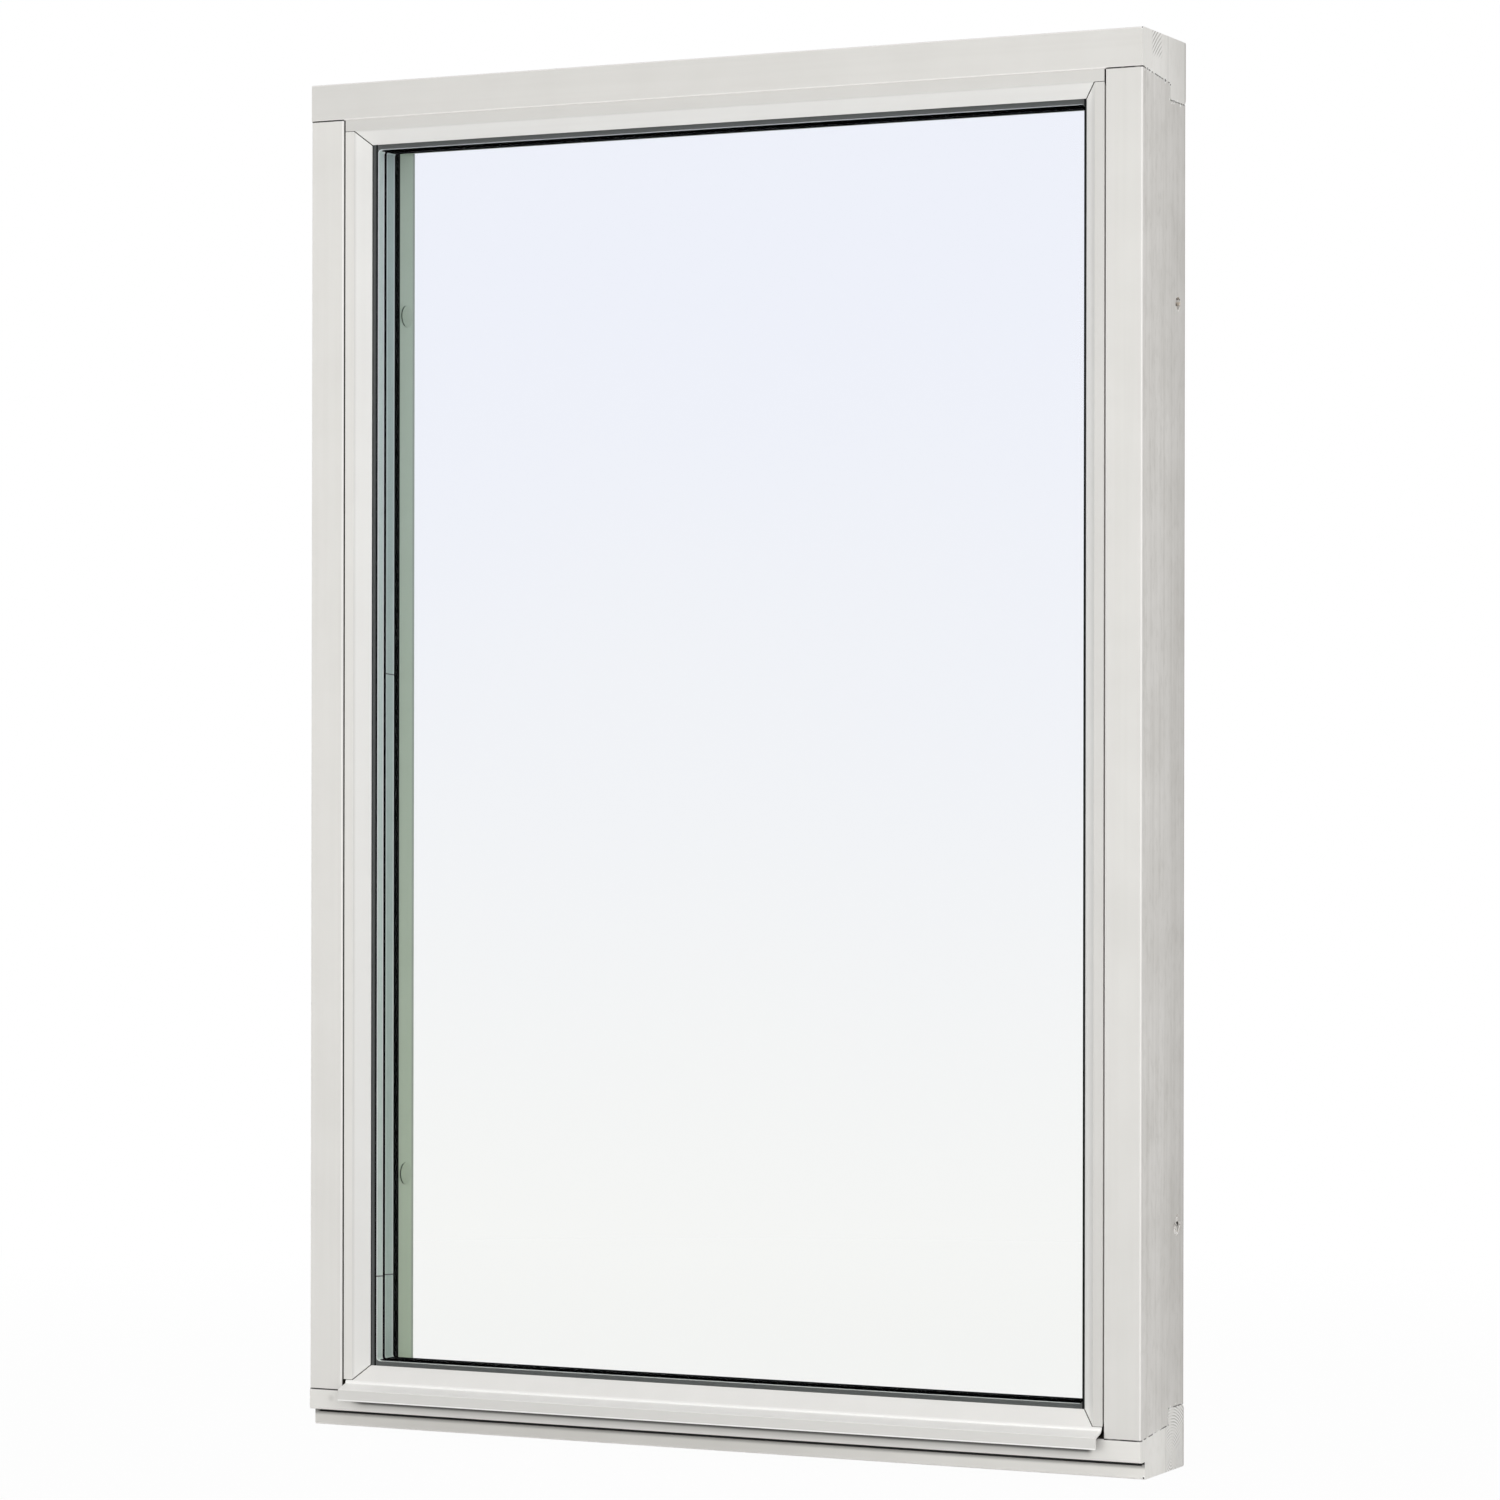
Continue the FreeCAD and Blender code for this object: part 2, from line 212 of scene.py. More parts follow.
def noise(tree, position, scale, detail=2.0):
    """Noise value from 0 to 1; a vector scale stretches the pattern."""
    if isinstance(scale, tuple):
        position = vector_calc(tree, "MULTIPLY", position, scale)
        scale = 1.0
    return add(tree, "TexNoise", {"Vector": position, "Scale": scale, "Detail": detail}).outputs["Fac"]


def ramp(tree, value, low, high, at_low=0.0, at_high=1.0):
    """Smooth step from at_low to at_high."""
    made = add(tree, "MapRange", interpolation_type="SMOOTHSTEP")
    for name, number in (("Value", value), ("From Min", low), ("From Max", high),
                         ("To Min", at_low), ("To Max", at_high)):
        feed(tree, made.inputs[name], number)
    return made.outputs["Result"]


def band(tree, value, low, high, soft):
    """1 between low and high, falling to 0 over a soft edge."""
    rise = ramp(tree, value, low - soft, low + soft)
    return calc(tree, "MULTIPLY", rise, ramp(tree, value, high - soft, high + soft, 1.0, 0.0))


def both(tree, *masks):
    """1 only where every mask is."""
    result = masks[0]
    for mask in masks[1:]:
        result = calc(tree, "MULTIPLY", result, mask)
    return result


def away_from(tree, value, place):
    """Distance of a value from a place, on either side of it."""
    return calc(tree, "ABSOLUTE", calc(tree, "SUBTRACT", value, place))


def new_group(name, inputs, outputs):
    """Empty shader node group with its sockets: returns the tree and its two end nodes."""
    tree = bpy.data.node_groups.new(name, "ShaderNodeTree")
    for direction, sockets in (("INPUT", inputs), ("OUTPUT", outputs)):
        for socket_name, kind in sockets.items():
            tree.interface.new_socket(socket_name, in_out=direction, socket_type="NodeSocket" + kind)
    return tree, tree.nodes.new("NodeGroupInput").outputs, tree.nodes.new("NodeGroupOutput").inputs


def use_group(tree, group, **inputs):
    """Places a group in a material: input names are written with underscores for spaces."""
    made = add(tree, "Group", node_tree=group)
    for name, value in inputs.items():
        feed(tree, made.inputs[name.replace("_", " ")], value)
    return made.outputs


# Span of a noise over which the roughness of a finish changes
ROUGHNESS_NOISE = (0.2, 0.8)
# Brushed coat: noise scales, and the span of each noise over which its mark appears
STREAK_SPAN = (0.35, 0.75)
MOTTLE_SCALE = 14.0
MOTTLE_SPAN = (0.3, 0.75)
SPECK_SCALE = (170.0, 170.0, 70.0)
SPECK_SPAN = (0.45, 0.75)
SKIN_SCALE = 900.0
STREAK_HEIGHT = 0.6
SKIN_HEIGHT = 0.4
COAT_ROUGHNESS = (0.36, 0.50)


def brushed_coat_group():
    """Brush-drawn paint: streaks along the timber, soft mottling, specks and a fine skin."""
    tree, given, result = new_group(
        "brushed_coat",
        {"Position": "Vector", "Streaked Position": "Vector", "Coat": "Color", "Shade": "Color",
         "Streaks": "Float", "Mottle": "Float", "Specks": "Float"},
        {"Colour": "Color", "Roughness": "Float", "Height": "Float"},
    )
    streak = noise(tree, given["Streaked Position"], 1.0, 4.0)
    mottle = noise(tree, given["Position"], MOTTLE_SCALE, 3.0)
    speck = noise(tree, given["Position"], SPECK_SCALE, 3.0)
    skin = noise(tree, given["Position"], SKIN_SCALE, 2.0)
    streak_part = calc(tree, "MULTIPLY", ramp(tree, streak, *STREAK_SPAN), given["Streaks"])
    mottle_part = calc(tree, "MULTIPLY_ADD", ramp(tree, mottle, *MOTTLE_SPAN), given["Mottle"], streak_part)
    shade = calc(tree, "MULTIPLY_ADD", ramp(tree, speck, *SPECK_SPAN), given["Specks"], mottle_part)
    feed(tree, result["Colour"], colour_mix(tree, shade, given["Coat"], given["Shade"]))
    feed(tree, result["Roughness"], ramp(tree, mottle, *ROUGHNESS_NOISE, *COAT_ROUGHNESS))
    skin_part = calc(tree, "MULTIPLY", skin, SKIN_HEIGHT)
    feed(tree, result["Height"], calc(tree, "MULTIPLY_ADD", streak, STREAK_HEIGHT, skin_part))
    return tree


# Growth rings: scale of their wobble, and the parts of each ring's wave that are pale and dark
WOBBLE_SCALE = 60.0
PALE_WAVE = (-0.7, 0.1)
DARK_WAVE = (0.0, 0.8)
# Keeps only the distance across a line along X
ACROSS_X = (0.0, 1.0, 1.0)


def growth_rings_group():
    """Growth rings on end grain, round a pith that runs along X: pale early wood and dark late wood."""
    tree, given, result = new_group(
        "growth_rings",
        {"Position": "Vector", "Pith": "Vector", "Spacing": "Float", "Wobble": "Float"},
        {"Pale": "Float", "Dark": "Float"},
    )
    offset = vector_calc(tree, "SUBTRACT", given["Position"], given["Pith"])
    distance = vector_calc(tree, "LENGTH", vector_calc(tree, "MULTIPLY", offset, ACROSS_X))
    wobble = calc(tree, "MULTIPLY", noise(tree, given["Position"], WOBBLE_SCALE, 2.0), given["Wobble"])
    turns = calc(tree, "ADD", calc(tree, "DIVIDE", distance, given["Spacing"]), wobble)
    wave = calc(tree, "SINE", calc(tree, "MULTIPLY", turns, 2 * math.pi))
    feed(tree, result["Pale"], ramp(tree, wave, *PALE_WAVE, 1.0, 0.0))
    feed(tree, result["Dark"], ramp(tree, wave, *DARK_WAVE))
    return tree


# Joint cracks: scale of the breaks and how softly they close; flakes beside them, in widths of the crack
BREAK_SCALE = 160.0
BREAK_SOFTNESS = 0.12
FLAKE_SCALE = 210.0
FLAKE_SPAN = (0.58, 0.66)
FLAKE_REACH = (2.0, 4.0)


def joint_line_group():
    """Fine broken crack along a line between two points of the outer side face, with paint flakes."""
    tree, given, result = new_group(
        "joint_line",
        {"Folded Position": "Vector", "Position": "Vector", "Start": "Vector", "Finish": "Vector",
         "Width": "Float", "Openness": "Float"},
        {"Line": "Float", "Flakes": "Float"},
    )
    run = vector_calc(tree, "SUBTRACT", given["Finish"], given["Start"])
    offset = vector_calc(tree, "SUBTRACT", given["Folded Position"], given["Start"])
    share = calc(tree, "DIVIDE", vector_calc(tree, "DOT_PRODUCT", offset, run),
                 vector_calc(tree, "DOT_PRODUCT", run, run))
    clamped = add(tree, "Clamp", {"Value": share}).outputs["Result"]
    nearest = add(tree, "VectorMath", {"Vector": run, "Scale": clamped}, operation="SCALE").outputs["Vector"]
    distance = vector_calc(tree, "LENGTH", vector_calc(tree, "SUBTRACT", offset, nearest))
    core = ramp(tree, distance, 0.0, given["Width"], 1.0, 0.0)
    breaks = noise(tree, given["Position"], BREAK_SCALE, 1.0)
    closed = calc(tree, "SUBTRACT", 1.0, given["Openness"])
    open_here = ramp(tree, breaks, closed, calc(tree, "ADD", closed, BREAK_SOFTNESS))
    feed(tree, result["Line"], calc(tree, "MULTIPLY", core, open_here))
    near, far = (calc(tree, "MULTIPLY", given["Width"], widths) for widths in FLAKE_REACH)
    beside = ramp(tree, distance, near, far, 1.0, 0.0)
    flaking = ramp(tree, noise(tree, given["Position"], FLAKE_SCALE, 2.0), *FLAKE_SPAN)
    feed(tree, result["Flakes"], calc(tree, "MULTIPLY", beside, flaking))
    return tree


RIM_CHIP_SCALE = (500.0, 420.0, 150.0)


def bare_hole_group():
    """Bare timber inside a hole that runs along X, with a chipped rim."""
    tree, given, result = new_group(
        "bare_hole",
        {"Position": "Vector", "Centre": "Vector", "Radius": "Float", "Chipping": "Float"},
        {"Bare": "Float"},
    )
    offset = vector_calc(tree, "SUBTRACT", given["Position"], given["Centre"])
    distance = vector_calc(tree, "LENGTH", vector_calc(tree, "MULTIPLY", offset, ACROSS_X))
    chips = noise(tree, given["Position"], RIM_CHIP_SCALE, 2.0)
    reach = calc(tree, "MULTIPLY_ADD", chips, given["Chipping"], given["Radius"])
    feed(tree, result["Bare"], calc(tree, "LESS_THAN", distance, reach))
    return tree


BRUSHED_COAT = brushed_coat_group()
GROWTH_RINGS = growth_rings_group()
JOINT_LINE = joint_line_group()
BARE_HOLE = bare_hole_group()


class Finish:
    """A material built up in layers over one Principled shader."""

    def __init__(self, name, roughness=0.5, specular=0.5):
        self.material = bpy.data.materials.new(name)
        self.material.use_nodes = True
        self.tree = self.material.node_tree
        self.shader = self.tree.nodes["Principled BSDF"]
        self.set("Roughness", roughness)
        self.set("Specular IOR Level", specular)

    def set(self, socket, value):
        """Sets or links one input of the shader."""
        feed(self.tree, self.shader.inputs[socket], value)

    @cached_property
    def coordinates(self):
        return add(self.tree, "TexCoord").outputs

    @cached_property
    def position(self):
        return self.coordinates["Object"]

    @cached_property
    def place(self):
        return split(self.tree, self.position)

    @cached_property
    def normal(self):
        return split(self.tree, self.coordinates["Normal"])

    @cached_property
    def depth(self):
        return calc(self.tree, "SUBTRACT", self.place["Y"], FRONT_Y)

    @cached_property
    def inset_x(self):
        return calc(self.tree, "SUBTRACT", OUTER_X, calc(self.tree, "ABSOLUTE", self.place["X"]))

    @cached_property
    def inset_z(self):
        from_top = calc(self.tree, "SUBTRACT", TOP_Z, self.place["Z"])
        return calc(self.tree, "MINIMUM", self.place["Z"], from_top)

    def turned(self, direction):
        """How far the surface is turned towards a direction: 1 when it faces it."""
        return vector_calc(self.tree, "DOT_PRODUCT", self.coordinates["Normal"], direction)

    def brushed(self, grain, coat, shade, streaks, mottle, specks):
        """Brushed paint with its streaks along the grain."""
        streaked = vector_calc(self.tree, "MULTIPLY", self.position, grain)
        return use_group(self.tree, BRUSHED_COAT, Position=self.position, Streaked_Position=streaked,
                         Coat=coat, Shade=shade, Streaks=streaks, Mottle=mottle, Specks=specks)

    def start(self, colour, height):
        """First layer."""
        self.colour = colour
        self.height = height

    def lay(self, mask, colour, rise=0.0):
        """Covers the surface with a colour where the mask is 1, raised or sunk there."""
        self.colour = colour_mix(self.tree, mask, self.colour, colour)
        if rise:
            self.height = calc(self.tree, "MULTIPLY_ADD", mask, rise, self.height)

    def close(self, bump_depth):
        """Links the layers to the shader, with bumps up to a depth in metres, and gives the material."""
        self.set("Base Color", self.colour)
        bump = add(self.tree, "Bump", {"Height": self.height, "Distance": bump_depth, "Strength": 1.0})
        self.set("Normal", bump.outputs["Normal"])
        return self.material


# End grain on the ends of head and sill: rings round a pith, how dark they are, the size of the patches that
# show them, and the depths and insets where they lie
END_GRAIN = {
    "head": {"pith": (0, FRONT_Y + 0.1365, TOP_Z - 0.130), "spacing": 0.0043, "wobble": 0.15,
             "darkness": 0.60, "patch_scale": 10.0, "depths": (0.028, 0.054), "insets": (-0.010, 0.024)},
    "sill": {"pith": (0, FRONT_Y + 0.088, 0.0135), "spacing": 0.0031, "wobble": 0.80,
             "darkness": 0.46, "patch_scale": 45.0, "depths": (GLUE_LINE_DEPTH + 0.003, FRAME_DEPTH - 0.002),
             "insets": (-0.010, 0.080)},
}
RINGS_SOFT_EDGE = 0.004
RING_PATCH_SPAN = (0.38, 0.58)
RING_PATCH_LEAST = 0.15
GLUE_LINE_EDGE = (0.0003, 0.0012)
GLUE_LINE_SHARE = 0.30


def lay_end_grain(coat, outer_side, pith, spacing, wobble, darkness, patch_scale, depths, insets):
    """Growth rings that show through the paint on the end of a member, and its glue line."""
    tree = coat.tree
    rings = use_group(tree, GROWTH_RINGS, Position=coat.position, Pith=pith, Spacing=spacing, Wobble=wobble)
    patchiness = noise(tree, coat.position, patch_scale, 1.0)
    patches = ramp(tree, patchiness, *RING_PATCH_SPAN, RING_PATCH_LEAST, 1.0)
    shown = both(tree, band(tree, coat.depth, *depths, RINGS_SOFT_EDGE),
                 band(tree, coat.inset_z, *insets, RINGS_SOFT_EDGE), outer_side, patches)
    coat.lay(both(tree, rings["Pale"], shown), RING_PALE)
    coat.lay(both(tree, rings["Dark"], shown, darkness), RING_AND_SHADE_DARK, rise=-2.0)
    from_glue = away_from(tree, coat.depth, GLUE_LINE_DEPTH)
    coat.lay(both(tree, ramp(tree, from_glue, *GLUE_LINE_EDGE, GLUE_LINE_SHARE, 0.0), outer_side), RING_AND_SHADE_DARK)


# Joints of jambs with head and sill: corners of the joint on the outer side, as depth and inset, and how open
# each run between them is
JOINT_CORNERS = [
    (0, 0, FACE_WIDTH),
    (0, REBATE_DEPTH, FACE_WIDTH + REBATE_FALL),
    (0, REBATE_DEPTH, LIP_INSET),
    (0, FRAME_DEPTH, LIP_INSET),
]
JOINT_OPENNESS = (0.54, 0.40, 0.56)
CRACK_WIDTH = 0.0011
FRONT_JOINT = (FACE_WIDTH - 0.0007, FACE_WIDTH + 0.0008)
FRONT_JOINT_SCALE = 70.0
FRONT_JOINT_SPAN = (0.28, 0.42)
FRONT_JOINT_LEAST = 0.70


def lay_joints(coat, outer_side):
    """Cracks where jambs meet head and sill, on the outer sides and the front, mirrored at both ends."""
    tree = coat.tree
    folded = add(tree, "CombineXYZ", {"X": 0.0, "Y": coat.depth, "Z": coat.inset_z}).outputs["Vector"]
    for start, finish, openness in zip(JOINT_CORNERS, JOINT_CORNERS[1:], JOINT_OPENNESS):
        joint = use_group(tree, JOINT_LINE, Folded_Position=folded, Position=coat.position, Start=start,
                          Finish=finish, Width=CRACK_WIDTH, Openness=openness)
        coat.lay(both(tree, joint["Flakes"], outer_side), FLAKE_AND_HIGHLIGHT_WHITE, rise=1.0)
        coat.lay(both(tree, joint["Line"], outer_side), JOINT_AND_SHADE_DARK, rise=-3.0)
    breaks = noise(tree, coat.position, FRONT_JOINT_SCALE, 1.0)
    front_joint = both(tree, band(tree, coat.inset_z, *FRONT_JOINT, ON_FACE),
                       calc(tree, "LESS_THAN", coat.inset_x, FACE_WIDTH),
                       calc(tree, "LESS_THAN", coat.depth, 2 * FACE_ARRIS),
                       ramp(tree, breaks, *FRONT_JOINT_SPAN, FRONT_JOINT_LEAST, 1.0))
    coat.lay(front_joint, JOINT_AND_SHADE_DARK, rise=-3.0)


# Sill's foot: painted shade that deepens from right to left, painted shade under the groove, and where the
# groove is painted black as shade
FOOT_SHADE_X = (0.35, -0.05)
FOOT_SHADE = 0.22
GROOVE_FOOT = FLASHING_HEIGHT - GROOVE_HEIGHT
GROOVE_SHADE_FOOT = GROOVE_FOOT - 0.0045
GROOVE_SHADE_SHARE = 0.65
GROOVE_SHADE_DEPTHS = (FLASHING_SETBACK + 0.0040, FLASHING_SETBACK + 0.0075)
GROOVE_BACK = FLASHING_SETBACK + GROOVE_DEPTH + 0.0005
GROOVE_HEIGHTS = (GROOVE_FOOT - 0.0002, FLASHING_HEIGHT + 0.0003)
GROOVE_EDGE = 0.0001
GROOVE_END_INSET = 0.001
# Painted shade line that runs on from the groove to the right corner
SHADE_RUN_ON_HEIGHTS = (GROOVE_FOOT + 0.0012, FLASHING_HEIGHT + 0.0003)
SHADE_RUN_ON_EDGE = 0.0004
# Painted shade under the metal bead's nose: where it sets in near the two ends, and its soft and dark parts
NOSE_SHADE_LEFT = (SILL_BEAD_LOW.x + 0.004, SILL_BEAD_LOW.x + 0.024)
NOSE_SHADE_RIGHT = (SILL_BEAD_HIGH.x - 0.008, SILL_BEAD_HIGH.x - 0.016)
SOFT_NOSE_SHADE = (FLASHING_HEIGHT + 0.0015, NOSE_FOOT_Z - 0.0030)
SOFT_NOSE_SHADE_SHARE = 0.36
DARK_NOSE_SHADE = (NOSE_FOOT_Z - 0.0064, NOSE_FOOT_Z - 0.0034)
DARK_NOSE_SHADE_SHARE = 0.85
# Painted soft shadow on the sill's front, cast beside the left end of the metal bead
NOSE_SHADOW_PLACE = (-OUTER_X + 0.027, FRONT_Y, 0.031)
NOSE_SHADOW_RADIUS = 0.0055
NOSE_SHADOW_SHARE = 0.22


def lay_flashing_foot(coat):
    """Groove along the sill's foot painted black as shade, and painted shade under it, under the metal
    bead's nose and beside its left end.
    """
    tree = coat.tree
    to_front = ramp(tree, coat.normal["Y"], *TO_FRONT)
    foot_front = both(tree, calc(tree, "GREATER_THAN", coat.depth, FLASHING_SETBACK - ON_FACE),
                      calc(tree, "LESS_THAN", coat.depth, FLASHING_SETBACK + ON_FACE), to_front)
    coat.lay(both(tree, ramp(tree, coat.place["X"], *FOOT_SHADE_X, 0.0, FOOT_SHADE), foot_front), RING_AND_SHADE_DARK)
    # Painted shade under the groove
    groove_shade = ramp(tree, coat.place["Z"], GROOVE_SHADE_FOOT, GROOVE_FOOT, 0.0, GROOVE_SHADE_SHARE)
    coat.lay(both(tree, groove_shade, foot_front), JOINT_AND_SHADE_DARK)
    # Painted shade: the groove's inside turns black
    in_groove = both(tree, ramp(tree, coat.depth, *GROOVE_SHADE_DEPTHS),
                     calc(tree, "LESS_THAN", coat.depth, GROOVE_BACK),
                     band(tree, coat.place["Z"], *GROOVE_HEIGHTS, GROOVE_EDGE),
                     calc(tree, "GREATER_THAN", coat.inset_x, GROOVE_END_INSET))
    coat.lay(in_groove, SEAL_AND_SHADE_BLACK)
    # Painted shade line from the groove's end to the right corner
    shade_run_on = both(tree, band(tree, coat.place["Z"], *SHADE_RUN_ON_HEIGHTS, SHADE_RUN_ON_EDGE),
                  calc(tree, "GREATER_THAN", coat.place["X"], 0.0), foot_front)
    coat.lay(shade_run_on, SEAL_AND_SHADE_BLACK)
    # Painted shade under the metal bead's nose
    under_nose = both(tree, to_front, ramp(tree, coat.place["X"], *NOSE_SHADE_LEFT),
                      ramp(tree, coat.place["X"], *NOSE_SHADE_RIGHT))
    for heights, share in ((SOFT_NOSE_SHADE, SOFT_NOSE_SHADE_SHARE), (DARK_NOSE_SHADE, DARK_NOSE_SHADE_SHARE)):
        coat.lay(both(tree, ramp(tree, coat.place["Z"], *heights, 0.0, share), under_nose), JOINT_AND_SHADE_DARK)
    # Painted shadow of the metal bead's nose on the sill's front
    from_nose_shadow = vector_calc(tree, "DISTANCE", coat.position, NOSE_SHADOW_PLACE)
    coat.lay(ramp(tree, from_nose_shadow, 0.0, NOSE_SHADOW_RADIUS, NOSE_SHADOW_SHARE, 0.0), RING_AND_SHADE_DARK)


# Fixing holes: bare timber and its chipped rim, drilled grain, overspray, dark spots, and the height above
# the hole's middle over which painted shade gathers, in the holes that have some
HOLE_RIM = 0.0002
HOLE_CHIPPING = 0.0012
DRILLED_SCALE = (500.0, 90.0, 330.0)
DRILLED_SPAN = (0.40, 0.62)
OVERSPRAY_SCALE = 240.0
OVERSPRAY_SPAN = (0.46, 0.60)
OVERSPRAY_SHARE = 0.75
DARK_SPOT_SCALE = 330.0
DARK_SPOT_SPAN = (0.60, 0.66)
HOLE_SHADE_RISE = 0.004
HOLE_SHADE = {"right_lower_fixing": 0.95}


def hole_radius(fixing):
    """Radius of a fixing hole in metres."""
    return fixing["dims"]["r_mm"] / 1000


def lay_fixing_hole(coat, fixing):
    """Bare drilled timber inside a fixing hole, with overspray and dark spots, and painted shade in some."""
    tree = coat.tree
    centre = fixing["pos_m"]
    bare = use_group(tree, BARE_HOLE, Position=coat.position, Centre=centre,
                     Radius=hole_radius(fixing) - HOLE_RIM, Chipping=HOLE_CHIPPING)["Bare"]
    drilled = noise(tree, vector_calc(tree, "ADD", coat.position, centre), DRILLED_SCALE, 3.0)
    overspray = noise(tree, coat.position, OVERSPRAY_SCALE, 2.0)
    dark_spots = noise(tree, coat.position, DARK_SPOT_SCALE, 1.0)
    lining = colour_mix(tree, ramp(tree, drilled, *DRILLED_SPAN), BARE_PINE, BARE_PINE_DARK)
    lining = colour_mix(tree, ramp(tree, overspray, *OVERSPRAY_SPAN, 0.0, OVERSPRAY_SHARE), lining, RING_PALE)
    lining = colour_mix(tree, ramp(tree, dark_spots, *DARK_SPOT_SPAN), lining, BARE_AND_SHADE_DARK)
    above = calc(tree, "SUBTRACT", coat.place["Z"], centre[2])
    shade = ramp(tree, above, 0.0, HOLE_SHADE_RISE, 0.0, HOLE_SHADE.get(fixing["name"], 0.0))
    coat.lay(bare, colour_mix(tree, shade, lining, BARE_AND_SHADE_DARK), rise=2.0)


# Paint chips along the joint of head and right jamb: depth, inset and radius of each
JOINT_CHIPS = (
    (0.014, 0.0418, 0.0014),
    (0.065, 0.0466, 0.0020),
    (0.080, 0.0490, 0.0014),
    (0.090, 0.0650, 0.0016),
)
JOINT_CHIP_PLACES = [
    ((OUTER_X, FRONT_Y + depth, TOP_Z - inset), radius)
    for depth, inset, radius in JOINT_CHIPS
]
# All chips of a member, with its knocked corners: centre and radius of each
CHIPS = {
    "head": [((OUTER_X, FRONT_Y, TOP_Z), 0.0017)] + JOINT_CHIP_PLACES,
    "right": JOINT_CHIP_PLACES,
    "sill": [((OUTER_X - 0.0012, FRONT_Y + FLASHING_SETBACK, 0.0018), 0.0013)],
}
# Ragged edge of a chip, its pale rim and its dark core, in radii
CHIP_SCALE = 700.0
CHIP_RAGGEDNESS = 3.0
CHIP_RIM = (2.7, 3.3)
CHIP_RIM_SHARE = 0.9
CHIP_CORE = (2.1, 2.4)


def lay_chip(coat, centre, radius):
    """Ragged chip in the paint: dark, with a pale rim."""
    tree = coat.tree
    from_chip = vector_calc(tree, "DISTANCE", coat.position, centre)
    ragged = calc(tree, "MULTIPLY_ADD", noise(tree, coat.position, CHIP_SCALE, 2.0), CHIP_RAGGEDNESS * radius,
                  from_chip)
    rim_start, rim_end = (radii * radius for radii in CHIP_RIM)
    core_start, core_end = (radii * radius for radii in CHIP_CORE)
    coat.lay(ramp(tree, ragged, rim_start, rim_end, CHIP_RIM_SHARE, 0.0), RING_PALE)
    coat.lay(ramp(tree, ragged, core_start, core_end, 1.0, 0.0), JOINT_AND_SHADE_DARK, rise=-3.0)


# Outer side faces: how near the frame's outer edge they lie, their shade to the back, and their roughness
SIDE_REACH = 0.0005
SIDE_SHADE_START = 0.03
SIDE_SHADE = 0.22
BACK_EDGE_START = FRAME_DEPTH - 0.006
BACK_EDGE_SHADE = 0.50
SIDE_ROUGHER = 0.18
# Rounded corners, by the product of a face's turn to the back and to a side: a painted highlight in front,
# and painted shade behind
FRONT_CORNER_HIGHLIGHT = (-0.15, -0.42)
BACK_CORNER = (0.10, 0.40)
BACK_CORNER_SHADE = 0.60
# Depths where the reveal's painted shade at its back edge sets in, and where the painted shade in each
# rebate starts
REVEAL_EDGE_SHADE_DEPTHS = (FRAME_DEPTH - 0.0095, FRAME_DEPTH - 0.0080)
SHADED_REBATE_START = {
    "head": 1.2 * FACE_ARRIS,
    "sill": BEAD_SETBACK,
    "left": BEAD_SETBACK,
    "right": 3 * BEAD_SETBACK,
}


